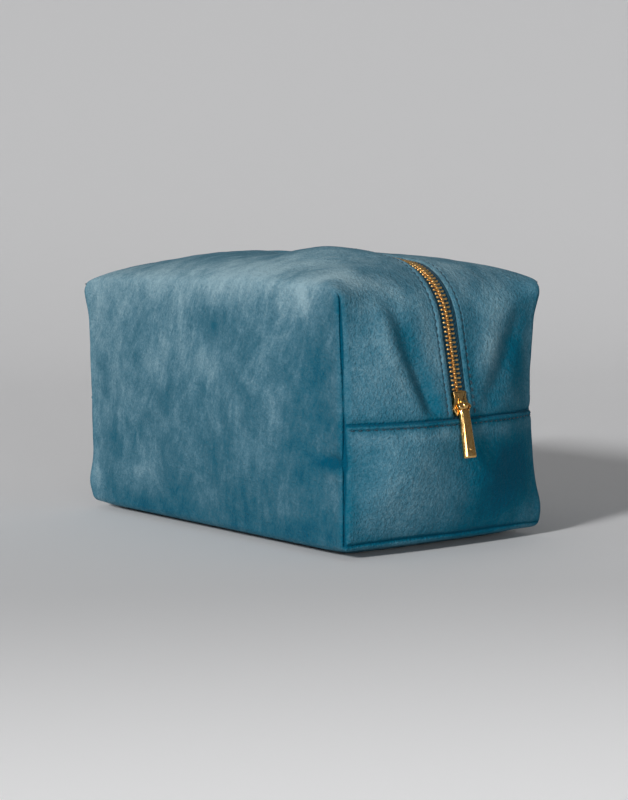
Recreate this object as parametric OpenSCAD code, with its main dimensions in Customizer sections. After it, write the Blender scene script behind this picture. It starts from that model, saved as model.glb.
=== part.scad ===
// Boxy zip-top wash bag: a soft padded body, a metal zip over the top and half-way down both ends,
// and a slider with a swinging bar pull.
// Millimetres, +Z up, origin on the floor under the middle of the base. The zip runs along X and closes
// towards +X, the near end, where the slider rests. The front wall faces -Y.

/* [Body] */
// Length between the upright seams of the two ends
body_l = 250; // [220:1:280]
// Width between the front and back walls, at the upright seams
body_w = 125; // [105:1:145]
// Height of the four top corners
corner_h = 131; // [118:1:146]
// How far the top stands above its corners, along the zip at mid-length
crown_rise = 17.5; // [12:0.5:24]
// Height of the seam across each end, where the zip stops
end_seam_h = 66; // [50:1:74]
// How far each end stands out beyond its upright seams, at the end seam
end_bulge = 15; // [8:0.5:20]
// How far each end stands out at the base
base_bulge = 4; // [0:0.5:8]
// Extra fullness of the panel below each end seam
end_belly = 4; // [0:0.5:8]
// How far the front and back walls bow out at mid-length
side_bulge = 5; // [0:0.5:10]
// How far the upright seams are drawn in at half height
end_waist = 3; // [0:0.5:6]
// Radius of the fold along the bottom of the front and back walls
base_fold_r = 6; // [5:0.5:10]
// Radius of the four top corners, seen from the front
corner_r = 6; // [5:0.5:10]

/* [Cloth] */
// Thickness of the outer cover
cover_t = 1.2; // [0.8:0.1:1.6]
// Thickness of the foam interlining
foam_t = 2; // [1:0.1:2.2]
// Thickness of the lining
lining_t = 0.5; // [0.3:0.1:0.8]
// Clearance between two plies that lie on each other
ply_gap = 0.1; // [0.05:0.05:0.2]
// Clearance where two pieces of one ply meet, at a seam or a fold
seam_gap = 0.3; // [0.2:0.05:0.5]

/* [Mouth] */
// How far each mouth flap's fold line stands in from its wall
fold_setback = 4.5; // [3.6:0.1:12]
// Width of the slot that the cover leaves over the zip
slot_w = 11.6; // [11:0.1:13]
// How far the lining stands back from the slot's edges
lining_setback = 1.2; // [0.8:0.1:3]
// How far the foam stands back from the zip tapes
foam_setback = 0.8; // [0.5:0.1:2]
// Clearance at the two sides of each mouth flap
flap_gap = 1.4; // [1:0.1:2]
// How far a flap's foam and lining stand back from its sides, to clear the ends as it turns
flap_setback = 2.2; // [1.8:0.1:4]

/* [Zip] */
// Lean of the zip inwards, on the straight stretch of each end, in degrees
zip_lean = 11; // [6:0.5:15]
// Radius of the zip where it turns from each end on to the top
roll_r = 38; // [32:1:42]
// Slope of the top where that turn ends, in degrees
crown_slope = 6; // [3:0.5:8]
// Thickness of the zip tapes
tape_t = 0.6; // [0.4:0.05:0.8]
// Width of each zip tape
tape_w = 12; // [10:0.5:14]
// Gap between the two tapes, under the teeth
tape_gap = 2.4; // [2.2:0.1:2.8]
// Distance between two teeth of one row
tooth_pitch = 2.2; // [2.1:0.05:2.6]
// Thickness of a tooth, along the zip
tooth_t = 0.96; // [0.8:0.02:1]
// Height of a tooth, through the tape
tooth_h = 2.6; // [2.2:0.1:3]
// Width of the chain of closed teeth
chain_w = 5.6; // [5:0.1:6]
// How far a tooth's head passes the centre line
tooth_lap = 0.75; // [0.5:0.05:0.9]
// Clearance between a tooth's legs and the tape that they clasp
clasp_gap = 0.04; // [0.03:0.01:0.08]
// Length of a stop, along the zip
stop_l = 1.6; // [1.2:0.1:2]
// Distance of the far end stop from the end seam
far_stop_s = 3; // [2:0.5:6]

/* [Slider] */
// Length of the slider
slider_l = 12.6; // [11:0.1:14]
// Width of the slider at its shoulders
slider_w = 9; // [8.8:0.1:10]
// Width of the slider at its rear mouth
slider_rear_w = 7.6; // [7.4:0.1:8.6]
// Width of the slider at its front mouths
slider_front_w = 8.2; // [8:0.1:8.8]
// Thickness of the slider's plates
plate_t = 1.1; // [0.8:0.1:1.4]
// Thickness of the rims along the slider's sides
rim_t = 0.8; // [0.6:0.05:0.85]
// Clearance between the slider and the chain or the tapes
slider_gap = 0.15; // [0.1:0.05:0.2]
// Width of the guide post between the plates
post_w = 1.8; // [1.4:0.1:2]
// Length of the guide post
post_l = 3.4; // [2.6:0.1:4]
// Distance of the resting slider from the end seam
slider_rest = 1.2; // [0.8:0.1:3]

/* [Pull] */
// Length of the pull below its crossbar's axis
pull_l = 26; // [18:0.5:30]
// Width of the pull at its eye
pull_top_w = 5.6; // [5.4:0.1:7]
// Width of the pull at its free end
pull_end_w = 7; // [5.6:0.1:9]
// Thickness of the pull
pull_t = 2.4; // [1.8:0.1:2.8]
// Radius of the pull's corners at its free end
pull_end_r = 1.2; // [0.5:0.1:2]
// Diameter of the crossbar that the pull swings on
crossbar_d = 1.7; // [1.4:0.05:1.8]
// Length of the eye, below the crossbar's axis
eye_l = 4.2; // [3.8:0.1:5.5]
// Clearance between the crossbar and its bore in the lug
bore_gap = 0.2; // [0.1:0.05:0.3]
// Clearance between the lug and the sides of the eye
eye_gap = 0.3; // [0.2:0.05:0.4]
// Thickness of the lug round the crossbar
lug_wall = 1.1; // [0.8:0.05:1.3]
// Width of the lug
lug_w = 3; // [2.4:0.1:3.2]
// Clearance between the resting pull and the slider's upper plate
pull_gap = 0.4; // [0.3:0.05:1]
// How far the lug sits below the middle of the slider
lug_drop = 1.2; // [0.5:0.1:2]

/* [Hidden] */

cover_colour = "#486f7f";
foam_colour = "#d9d6cc";
lining_colour = "#1f3f4c";
tape_colour = "#123b49";
metal_colour = "#d2a85e";

// Plies, from the outside in
COVER = 0;
FOAM = 1;
LINING = 2;
ply_from = [0, cover_t + ply_gap, cover_t + foam_t + 2 * ply_gap];
ply_to = [cover_t, cover_t + ply_gap + foam_t, cover_t + foam_t + lining_t + 2 * ply_gap];

half_l = body_l / 2;
half_w = body_w / 2;
flap_w = half_w - fold_setback;
crown_h = corner_h + crown_rise;

// The cover is flat over the tapes and round beyond them: the power that draws it down at the long top
// edges (a full round) and at the upright end seams (a blunt corner)
tape_outer_y = tape_gap / 2 + tape_w;
flat_share = tape_outer_y / half_w;
top_draw = 0.5;
end_draw = 0.9;

// Zip path in the plane Y = 0: a leaning straight on the end, a round turn, and a shallow crown
end_x = half_l + end_bulge;
lean_tan = tan(zip_lean);
turn_drop = crown_h - roll_r * cos(crown_slope) + roll_r * sin(zip_lean) - end_seam_h;
crown_half = (end_x + roll_r * (sin(crown_slope) - cos(zip_lean)) - turn_drop * lean_tan)
    / (1 - tan(crown_slope / 2) * lean_tan);
crown_r = crown_half / sin(crown_slope);
turn_x = crown_half - roll_r * sin(crown_slope);
turn_z = crown_h - crown_half * tan(crown_slope / 2) - roll_r * cos(crown_slope);
straight_x = turn_x + roll_r * cos(zip_lean);
straight_z = turn_z + roll_r * sin(zip_lean);
straight_l = (straight_z - end_seam_h) / cos(zip_lean);
turn_angle = 90 - zip_lean - crown_slope;

// The tapes lie under the cover, and distances along the zip are measured on their mid-plane
tape_top = cover_t + ply_gap;
tape_mid = tape_top + tape_t / 2;
turn_l = (roll_r - tape_mid) * turn_angle * PI / 180;
crown_l = (crown_r - tape_mid) * crown_slope * PI / 180;
turn_end_s = straight_l + turn_l;
middle_s = turn_end_s + crown_l;
tooth_root_y = chain_w / 2;
clasp_y = tape_gap / 2 - clasp_gap;

// Slider, in its own frame: X out of the bag, Z up along the zip, origin on the tapes' mid-plane
channel_half = tooth_h / 2 + slider_gap;
rim_from = tape_t / 2 + slider_gap;
plate_top = channel_half + plate_t;
slider_s = slider_rest + slider_l / 2;
stop_s = slider_rest + slider_l * 0.3;
first_tooth_s = slider_s + slider_gap;
axis_out = plate_top + pull_gap + pull_t / 2;
bore_r = crossbar_d / 2 + bore_gap;
lug_r = bore_r + lug_wall;
eye_w = lug_w + 2 * eye_gap;

// Mesh steps of the cloth
wall_columns = 10;
wall_rows = 5;
fold_rows = 3;
corner_rows = 2;
crest_rows = 3;
flap_rows = 10;
flap_columns = 5;
straight_rows = 4;
turn_rows = 12;
end_rows = 5;
end_columns = 8;
// Short first step at a piece's edge, which gives that edge its true slope
edge_step = 0.8;
base_steps = 12;
turn_steps = 26;
crown_steps = 12;

function lerp(a, b, f) = a + (b - a) * f;
function ease(f) = let (g = min(1, max(0, f))) g * g * (3 - 2 * g);
function unit(v) = v / norm(v);
// How much of the zip's height and reach is left at a share t of the way to the wall
function fullness(t, draw) =
    let (u = max(0, t - flat_share) / (1 - flat_share)) pow(max(0, 1 - u * u), draw);
function waist(z) = end_waist * pow(sin(180 * min(z, corner_h) / corner_h), 2);

// Points of the zip path, as [x, z], and the cover's edges that they are drawn down to
function straight_zip(f) = [lerp(end_x, straight_x, f), lerp(end_seam_h, straight_z, f)];
function straight_edge(f) = [half_l, lerp(end_seam_h, corner_h - corner_r, f)];
function turn_zip(f) =
    let (a = lerp(90 - zip_lean, crown_slope, f)) [turn_x + roll_r * sin(a), turn_z + roll_r * cos(a)];
function turn_edge(f) =
    [half_l - corner_r * (1 - cos(90 * f)), corner_h - corner_r * (1 - sin(90 * f))];
function crown_zip(q) =
    [crown_r * sin(crown_slope * q), crown_h - crown_r * (1 - cos(crown_slope * q))];
function crown_edge(q) = [q * (half_l - corner_r), corner_h];

// A point of the front half of the cover, a share t of the way from the zip to the wall
function cover_point(zip, edge, t, draw, edge_y) =
    let (p = lerp(edge, zip, fullness(t, draw))) [p[0], -t * edge_y, p[1]];
function crown_point(q, t) = cover_point(crown_zip(q), crown_edge(q), t, top_draw, half_w);

// Shares t across a corner or a flap, from the zip outwards: the edges that the plies leave beside the
// zip, close steps where the cover turns down, and the far edges
slot_edges = [slot_w / 2, slot_w / 2 + lining_setback, tape_outer_y, tape_outer_y + foam_setback];
slot_crop = [0, 3, 1];
function across(far_edges) =
    let (first = slot_edges[3] / half_w, n = flap_columns)
    concat(
        slot_edges / half_w,
        [for (j = [1:n - 1]) lerp(first, far_edges[0], sin(90 * j / n))],
        far_edges
    );

// Upper half of the near end and its boxed corner, front side: rows along the zip, columns across
function corner_edge(ply, turn) =
    let (kept = ply == COVER ? 1 - ease(2 * turn - 1) : 1)
    1 - (seam_gap / 6 + (ply_to[ply] + seam_gap) * kept) / half_w;
function corner_row(zip, edge, turn) =
    let (draw = lerp(end_draw, top_draw, ease(turn)))
    [for (t = across([for (ply = [LINING, FOAM, COVER]) corner_edge(ply, turn)]))
        cover_point(zip, edge, t, draw, half_w - waist(edge[1]))];
corner_grid = concat(
    [for (i = [0:straight_rows])
        let (f = lerp(seam_gap / straight_l, 1, i / straight_rows))
        corner_row(straight_zip(f), straight_edge(f), 0)],
    [for (i = [1:turn_rows + 1])
        let (f = 1 - (seam_gap + (i > turn_rows ? 0 : edge_step)) / turn_l, g = f * min(1, i / turn_rows))
        corner_row(turn_zip(g), turn_edge(g), g)]
);

// Front half of the top, from the slot over the zip to the fold line: rows along X, columns across
function both_ways(shares) =
    concat(shares, [for (i = [len(shares) - 1:-1:0]) if (shares[i] > 0) -shares[i]]);
flap_shares = both_ways(concat(
    [1 - flap_gap / crown_half],
    [for (i = [flap_rows / 2:-1:0]) (1 - (flap_gap + flap_setback) / crown_half) * 2 * i / flap_rows]
));
fold_t = flap_w / half_w;
fold_gap_t = seam_gap / 2 / half_w;
fold_step_t = edge_step / half_w;
flap_grid =
    [for (q = flap_shares)
        [for (t = across([fold_t - fold_gap_t - fold_step_t, fold_t - fold_gap_t])) crown_point(q, t)]];

// Front wall: rows along X, columns up the wall from the base fold to the fold line of the flap
function wall_half(z) =
    let (rise = max(0, z - corner_h + corner_r)) half_l - corner_r + sqrt(corner_r * corner_r - rise * rise);
function wall_out(q, z) =
    side_bulge * (1 - q * q) * 4 * z * (corner_h - z) / (corner_h * corner_h) - waist(z) * pow(q, 6);
function wall_point(q, y, z) = [q * wall_half(z), -(y + wall_out(q, z)), z];
function wall_column(q) = concat(
    [wall_point(q, half_w - base_fold_r - edge_step, 0)],
    [for (j = [0:fold_rows])
        let (a = 90 * j / fold_rows)
        wall_point(q, half_w - base_fold_r * (1 - sin(a)), base_fold_r * (1 - cos(a)))],
    [for (j = [1:wall_rows])
        wall_point(q, half_w, lerp(base_fold_r, corner_h - corner_r, j / wall_rows))],
    [for (j = [1:corner_rows])
        wall_point(q, half_w, corner_h - corner_r * (1 - sin(90 * j / corner_rows)))],
    [for (j = [1:crest_rows]) crown_point(q, lerp(1, fold_t + fold_gap_t + fold_step_t, j / crest_rows))],
    [crown_point(q, fold_t + fold_gap_t)]
);
wall_edges = [for (ply = [COVER, FOAM, LINING]) 1 - (ply_from[ply] + seam_gap) / half_l];
wall_shares = both_ways(concat(
    wall_edges,
    [for (i = [wall_columns / 2 - 1:-1:0]) wall_edges[LINING] * 2 * i / wall_columns]
));
wall_grid = [for (i = [len(wall_shares) - 1:-1:0]) wall_column(wall_shares[i])];

// Panel below the near end seam: rows up, columns from back to front
function end_out(f) = lerp(base_bulge, end_bulge, f) + end_belly * sin(180 * f);
function fold_in(z) =
    let (drop = max(0, base_fold_r - z)) base_fold_r - sqrt(base_fold_r * base_fold_r - drop * drop);
end_low = [for (ply = [COVER, FOAM, LINING]) ply_to[ply] + seam_gap];
end_high = [for (ply = [LINING, FOAM, COVER]) end_seam_h - seam_gap - ply_from[ply] / 2];
end_heights = concat(
    end_low,
    [for (i = [1:end_rows - 1]) lerp(end_low[LINING], end_high[0], i / end_rows)],
    end_high
);
function end_shares(edge_y) =
    let (edges = [for (ply = [COVER, FOAM, LINING]) 1 - (ply_to[ply] + 2 * seam_gap) / edge_y])
    both_ways(concat(
        edges,
        [for (i = [end_columns / 2 - 1:-1:0]) edges[LINING] * 2 * i / end_columns]
    ));
end_grid =
    [for (z = end_heights)
        let (edge_y = half_w - waist(z) - fold_in(z))
        [for (t = end_shares(edge_y))
            [half_l + end_out(z / end_seam_h) * fullness(abs(t), end_draw), t * edge_y, z]]];

// A grid of points moved inwards, square to its surface
function inset_grid(g, d) =
    let (n = len(g) - 1, m = len(g[0]) - 1)
    [for (i = [0:n]) [for (j = [0:m])
        let (
            along = g[min(i + 1, n)][j] - g[max(i - 1, 0)][j],
            across = g[i][min(j + 1, m)] - g[i][max(j - 1, 0)]
        )
        g[i][j] - d * unit(cross(along, across))]];

// A closed sheet between two grids of the same size
module sheet(outer, inner) {
    n = len(outer);
    m = len(outer[0]);
    function out(i, j) = i * m + j;
    function in(i, j) = n * m + i * m + j;
    points = concat([for (row = outer) each row], [for (row = inner) each row]);
    faces = concat(
        [for (i = [0:n - 2], j = [0:m - 2])
            each [[out(i, j), out(i, j + 1), out(i + 1, j + 1)],
                  [out(i, j), out(i + 1, j + 1), out(i + 1, j)],
                  [in(i, j), in(i + 1, j), in(i + 1, j + 1)],
                  [in(i, j), in(i + 1, j + 1), in(i, j + 1)]]],
        [for (i = [0:n - 2])
            each [[out(i, 0), out(i + 1, 0), in(i + 1, 0)],
                  [out(i, 0), in(i + 1, 0), in(i, 0)],
                  [out(i + 1, m - 1), out(i, m - 1), in(i, m - 1)],
                  [out(i + 1, m - 1), in(i, m - 1), in(i + 1, m - 1)]]],
        [for (j = [0:m - 2])
            each [[out(0, j + 1), out(0, j), in(0, j)],
                  [out(0, j + 1), in(0, j), in(0, j + 1)],
                  [out(n - 1, j), out(n - 1, j + 1), in(n - 1, j + 1)],
                  [out(n - 1, j), in(n - 1, j + 1), in(n - 1, j)]]]
    );
    polyhedron(points, faces, convexity = 6);
}

// A grid without its first and last few rows and columns
function crop(g, rows, columns) =
    [for (i = [rows[0]:len(g) - 1 - rows[1]])
        [for (j = [columns[0]:len(g[0]) - 1 - columns[1]]) g[i][j]]];

// One ply of a panel: all plies share the panel's grid, and a ply leaves off the edges that aren't its own
module ply_sheet(grid, ply, rows, columns) {
    sheet(
        crop(inset_grid(grid, ply_from[ply]), rows, columns),
        crop(inset_grid(grid, ply_to[ply]), rows, columns)
    );
}

module to_back() {
    mirror([0, 1, 0]) children();
}

module to_far() {
    mirror([1, 0, 0]) children();
}

module base_ply(ply) {
    half_y = half_w - base_fold_r - edge_step - seam_gap;
    ys = [for (i = [0:base_steps]) half_y * (2 * i / base_steps - 1)];
    function reach(y) =
        half_l - ply_from[ply] - seam_gap + base_bulge * fullness(abs(y) / half_w, end_draw);
    translate([0, 0, ply_from[ply]])
        linear_extrude(ply_to[ply] - ply_from[ply])
            polygon(concat([for (y = ys) [reach(y), y]], [for (y = ys) [-reach(y), -y]]));
}

// A point of the zip path a depth d under the cover, by its distance s from the near end seam
function zip_tilt(s) =
    s < straight_l ? 90 - zip_lean
    : s < turn_end_s ? 90 - zip_lean - turn_angle * (s - straight_l) / turn_l
    : crown_slope * (1 - (s - turn_end_s) / crown_l);
function zip_point(s, d) =
    let (a = zip_tilt(s), out = [sin(a), cos(a)])
    s < straight_l ? straight_zip(s / straight_l) - d * out
    : s < turn_end_s ? [turn_x, turn_z] + (roll_r - d) * out
    : [0, crown_h - crown_r] + (crown_r - d) * out;

module on_zip(s) {
    p = zip_point(s, tape_mid);
    translate([p[0], 0, p[1]])
        rotate([0, zip_tilt(s) - 90, 0])
            children();
}

// Front tape over a stretch of the zip, given by its stations
module tape(stations) {
    outer = [for (s = stations) zip_point(s, tape_top)];
    inner = [for (i = [len(stations) - 1:-1:0]) zip_point(stations[i], tape_top + tape_t)];
    translate([0, -tape_gap / 2, 0])
        rotate([90, 0, 0])
            linear_extrude(tape_w)
                polygon(concat(outer, inner));
}
end_stations = concat(
    [0],
    [for (i = [0:turn_steps - 1]) straight_l + turn_l * i / turn_steps],
    [turn_end_s - seam_gap / 2]
);
top_stations = concat(
    [turn_end_s + seam_gap / 2],
    [for (i = [1:2 * crown_steps - 1]) turn_end_s + crown_l * i / crown_steps],
    [2 * middle_s - turn_end_s - seam_gap / 2]
);

// Section of a front tooth or stop: two legs that clasp the tape's edge, and a head
module clasp_section(head_y, root_y) {
    half_h = tooth_h / 2;
    slot_half = tape_t / 2 + clasp_gap;
    chamfer = half_h / 4;
    polygon([
        [half_h - chamfer, -root_y], [half_h, chamfer - root_y], [half_h, head_y - 2 * chamfer],
        [half_h / 2, head_y], [-half_h / 2, head_y], [-half_h, head_y - 2 * chamfer],
        [-half_h, chamfer - root_y], [chamfer - half_h, -root_y], [-slot_half, -root_y],
        [-slot_half, -clasp_y], [slot_half, -clasp_y], [slot_half, -root_y]
    ]);
}

module tooth() {
    linear_extrude(tooth_t, center = true)
        clasp_section(tooth_lap, tooth_root_y);
}

// Front teeth of one row, spread evenly between two stations so that the stretch holds whole pitches;
// the row's phase is its share of a pitch from the first station
module teeth(first_s, last_s, phase) {
    count = round((last_s - first_s) / tooth_pitch);
    for (k = [0:count - 1])
        on_zip(lerp(first_s, last_s, (k + phase) / count))
            tooth();
}
front_phase = 0.25;
back_phase = 0.75;

module wall(ply) {
    ply_sheet(wall_grid, ply, [ply, ply], [0, 0]);
}

module end_panel(ply) {
    ply_sheet(end_grid, ply, [ply, ply], [ply, ply]);
}

module flap(ply) {
    sides = ply == COVER ? 0 : 1;
    ply_sheet(flap_grid, ply, [sides, sides], [slot_crop[ply], 0]);
}

module corner(ply) {
    ply_sheet(corner_grid, ply, [0, 0], [slot_crop[ply], ply]);
}

module front_cover() { color(cover_colour) wall(COVER); }
module back_cover() { color(cover_colour) to_back() wall(COVER); }
module base_cover() { color(cover_colour) base_ply(COVER); }
module near_end_cover() { color(cover_colour) end_panel(COVER); }
module far_end_cover() { color(cover_colour) to_far() end_panel(COVER); }
module front_flap_cover() { color(cover_colour) flap(COVER); }
module back_flap_cover() { color(cover_colour) to_back() flap(COVER); }
module near_front_corner_cover() { color(cover_colour) corner(COVER); }
module near_back_corner_cover() { color(cover_colour) to_back() corner(COVER); }
module far_front_corner_cover() { color(cover_colour) to_far() corner(COVER); }
module far_back_corner_cover() { color(cover_colour) to_far() to_back() corner(COVER); }

module front_foam() { color(foam_colour) wall(FOAM); }
module back_foam() { color(foam_colour) to_back() wall(FOAM); }
module base_foam() { color(foam_colour) base_ply(FOAM); }
module near_end_foam() { color(foam_colour) end_panel(FOAM); }
module far_end_foam() { color(foam_colour) to_far() end_panel(FOAM); }
module front_flap_foam() { color(foam_colour) flap(FOAM); }
module back_flap_foam() { color(foam_colour) to_back() flap(FOAM); }
module near_front_corner_foam() { color(foam_colour) corner(FOAM); }
module near_back_corner_foam() { color(foam_colour) to_back() corner(FOAM); }
module far_front_corner_foam() { color(foam_colour) to_far() corner(FOAM); }
module far_back_corner_foam() { color(foam_colour) to_far() to_back() corner(FOAM); }

module front_lining() { color(lining_colour) wall(LINING); }
module back_lining() { color(lining_colour) to_back() wall(LINING); }
module base_lining() { color(lining_colour) base_ply(LINING); }
module near_end_lining() { color(lining_colour) end_panel(LINING); }
module far_end_lining() { color(lining_colour) to_far() end_panel(LINING); }
module front_flap_lining() { color(lining_colour) flap(LINING); }
module back_flap_lining() { color(lining_colour) to_back() flap(LINING); }
module near_front_corner_lining() { color(lining_colour) corner(LINING); }
module near_back_corner_lining() { color(lining_colour) to_back() corner(LINING); }
module far_front_corner_lining() { color(lining_colour) to_far() corner(LINING); }
module far_back_corner_lining() { color(lining_colour) to_far() to_back() corner(LINING); }

module front_top_tape() { color(tape_colour) tape(top_stations); }
module back_top_tape() { color(tape_colour) to_back() tape(top_stations); }
module near_front_tape() { color(tape_colour) tape(end_stations); }
module near_back_tape() { color(tape_colour) to_back() tape(end_stations); }
module far_front_tape() { color(tape_colour) to_far() tape(end_stations); }
module far_back_tape() { color(tape_colour) to_far() to_back() tape(end_stations); }

module front_top_teeth() { color(metal_colour) teeth(turn_end_s, 2 * middle_s - turn_end_s, front_phase); }
module back_top_teeth() {
    color(metal_colour) to_back() teeth(turn_end_s, 2 * middle_s - turn_end_s, back_phase);
}
module near_front_teeth() { color(metal_colour) teeth(first_tooth_s, turn_end_s, front_phase); }
module near_back_teeth() { color(metal_colour) to_back() teeth(first_tooth_s, turn_end_s, back_phase); }
module far_front_teeth() { color(metal_colour) to_far() teeth(far_stop_s + stop_l, turn_end_s, back_phase); }
module far_back_teeth() {
    color(metal_colour) to_far() to_back() teeth(far_stop_s + stop_l, turn_end_s, front_phase);
}

// Stops on the last stretch of both tapes, beside the guide post of the closed slider
module closed_end_stops() {
    stop_head_y = -(post_w / 2 + slider_gap);
    color(metal_colour)
        on_zip(stop_s)
            for (side = [0, 1])
                mirror([0, side, 0])
                    linear_extrude(stop_l, center = true)
                        clasp_section(stop_head_y, tooth_root_y);
}

// One stop across both tapes, where the zip begins
module far_end_stop() {
    slot_half = tape_t / 2 + clasp_gap;
    color(metal_colour)
        to_far()
            on_zip(far_stop_s)
                linear_extrude(stop_l, center = true)
                    difference() {
                        square([tooth_h, chain_w], center = true);
                        for (side = [-1, 1])
                            translate([-slot_half, side > 0 ? clasp_y : -clasp_y - chain_w])
                                square([2 * slot_half, chain_w]);
                    }
}

// Outline of the slider's plates seen from outside, drawn in by a margin and lengthened by a run-out
module slider_outline(margin, run_out) {
    half = slider_l / 2;
    shoulder_z = -slider_l / 6;
    side = [
        [slider_rear_w / 2 - margin, half + run_out], [slider_rear_w / 2 - margin, half / 3],
        [slider_w / 2 - margin, shoulder_z + slider_l / 12],
        [slider_w / 2 - margin, shoulder_z - slider_l / 12],
        [slider_front_w / 2 - margin, -half - run_out]
    ];
    polygon(concat(side, [for (i = [len(side) - 1:-1:0]) [-side[i][0], side[i][1]]]));
}

// A slab with the slider's outline, between two distances out of the bag
module slider_slab(from_x, to_x, margin = 0, run_out = 0) {
    translate([from_x, 0, 0])
        rotate([90, 0, 90])
            linear_extrude(to_x - from_x)
                slider_outline(margin, run_out);
}

module slider_rims(from_x, to_x) {
    difference() {
        slider_slab(from_x, to_x);
        slider_slab(from_x - 1, to_x + 1, rim_t, 1);
    }
}

module slider_body() {
    color(metal_colour)
        on_zip(slider_s) {
            slider_slab(channel_half, plate_top);
            slider_slab(-plate_top, -channel_half);
            slider_rims(rim_from, channel_half);
            slider_rims(-channel_half, -rim_from);
            translate([-channel_half, -post_w / 2, -slider_l / 2])
                cube([2 * channel_half, post_w, post_l]);
        }
}

// Lug on the upper plate, with the bore that the pull's crossbar turns in
module slider_lug() {
    color(metal_colour)
        on_zip(slider_s)
            translate([axis_out, 0, -lug_drop])
                rotate([90, 0, 0])
                    difference() {
                        union() {
                            cylinder(h = lug_w, r = lug_r, center = true, $fn = 48);
                            translate([plate_top - axis_out, -lug_r, -lug_w / 2])
                                cube([axis_out - plate_top, 2 * lug_r, lug_w]);
                        }
                        cylinder(h = lug_w + 2, r = bore_r, center = true, $fn = 48);
                        translate([plate_top - axis_out - lug_r, -2 * lug_r, -lug_w])
                            cube([lug_r, 4 * lug_r, 2 * lug_w]);
                    }
}

// Outline of the pull's bar below its eye
module pull_outline() {
    end_y = pull_end_w / 2 - pull_end_r;
    polygon(concat(
        [[-pull_top_w / 2, -eye_l], [pull_top_w / 2, -eye_l]],
        [for (a = [0:-15:-90]) [end_y + pull_end_r * cos(a), pull_end_r - pull_l + pull_end_r * sin(a)]],
        [for (a = [-90:-15:-180]) [pull_end_r * cos(a) - end_y, pull_end_r - pull_l + pull_end_r * sin(a)]]
    ));
}

module pull_bar() {
    arm_w = (pull_top_w - eye_w) / 2;
    color(metal_colour)
        on_zip(slider_s)
            translate([axis_out, 0, -lug_drop]) {
                rotate([90, 0, 90])
                    linear_extrude(pull_t, center = true)
                        pull_outline();
                for (side = [-1, 1])
                    translate([-crossbar_d / 2, side * (eye_w + arm_w) / 2 - arm_w / 2, -eye_l])
                        cube([crossbar_d, arm_w, eye_l]);
                rotate([90, 0, 0])
                    cylinder(h = pull_top_w, d = crossbar_d, center = true, $fn = 32);
            }
}

front_cover();
back_cover();
base_cover();
near_end_cover();
far_end_cover();
front_flap_cover();
back_flap_cover();
near_front_corner_cover();
near_back_corner_cover();
far_front_corner_cover();
far_back_corner_cover();
front_foam();
back_foam();
base_foam();
near_end_foam();
far_end_foam();
front_flap_foam();
back_flap_foam();
near_front_corner_foam();
near_back_corner_foam();
far_front_corner_foam();
far_back_corner_foam();
front_lining();
back_lining();
base_lining();
near_end_lining();
far_end_lining();
front_flap_lining();
back_flap_lining();
near_front_corner_lining();
near_back_corner_lining();
far_front_corner_lining();
far_back_corner_lining();
front_top_tape();
back_top_tape();
near_front_tape();
near_back_tape();
far_front_tape();
far_back_tape();
front_top_teeth();
back_top_teeth();
near_front_teeth();
near_back_teeth();
far_front_teeth();
far_back_teeth();
closed_end_stops();
far_end_stop();
slider_body();
slider_lug();
pull_bar();
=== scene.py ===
"""Zip-top wash bag in brushed faux suede with a gold metal zip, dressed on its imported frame.

Sizes are millimetres, as in the part's source, and turn to metres where a mesh is made.
+X is the near end, where the slider rests, and the front wall faces -Y.
"""

import math
from types import SimpleNamespace

import bmesh
import bpy
import numpy as np
from mathutils import Matrix, Vector
from mathutils.bvhtree import BVHTree


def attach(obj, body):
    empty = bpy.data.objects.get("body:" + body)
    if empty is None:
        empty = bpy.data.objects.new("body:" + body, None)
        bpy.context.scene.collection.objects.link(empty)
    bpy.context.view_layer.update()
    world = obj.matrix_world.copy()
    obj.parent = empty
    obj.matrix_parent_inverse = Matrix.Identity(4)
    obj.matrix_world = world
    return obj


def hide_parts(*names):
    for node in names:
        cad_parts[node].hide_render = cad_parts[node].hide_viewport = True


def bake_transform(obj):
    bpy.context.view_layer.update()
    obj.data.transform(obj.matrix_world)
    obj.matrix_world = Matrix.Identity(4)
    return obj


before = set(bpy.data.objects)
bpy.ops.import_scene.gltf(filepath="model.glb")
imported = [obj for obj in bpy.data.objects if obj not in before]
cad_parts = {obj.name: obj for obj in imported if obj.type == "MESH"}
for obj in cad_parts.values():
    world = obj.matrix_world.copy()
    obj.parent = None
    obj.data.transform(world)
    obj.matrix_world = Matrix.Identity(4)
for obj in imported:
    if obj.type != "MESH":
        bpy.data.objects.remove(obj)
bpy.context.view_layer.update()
MM = 0.001

# Body
HALF_L, HALF_W, CORNER_H, CROWN_H = 125.0, 62.5, 131.0, 148.5
SEAM_H, END_BULGE, BASE_BULGE, END_BELLY, SIDE_BULGE = 66.0, 15.0, 4.0, 4.0, 5.0
FOLD_R, CORNER_R, BASE_ROLL, END_LIFT, WALL_LIFT = 4.2, 6.0, 3.4, 4.6, 3.4
# How far each upright seam is drawn in at half height, by its end and its wall
WAIST = {(1, -1): 1.0, (1, 1): 5.5, (-1, -1): 0.6, (-1, 1): 4.0}
COVER_T, SEAM_T, LINING_FROM, LINING_T = 0.9, 0.15, 4.2, 0.5
WALL_SIDES, END_SIDES = (("front", -1), ("back", 1)), (("near", 1), ("far", -1))
# Heights of folds, dents, and the nap's tones with their painted light and shade count from here, where the base's
# edges lift off the floor
LIFTED = np.array([0, 0, 6.0])

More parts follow.
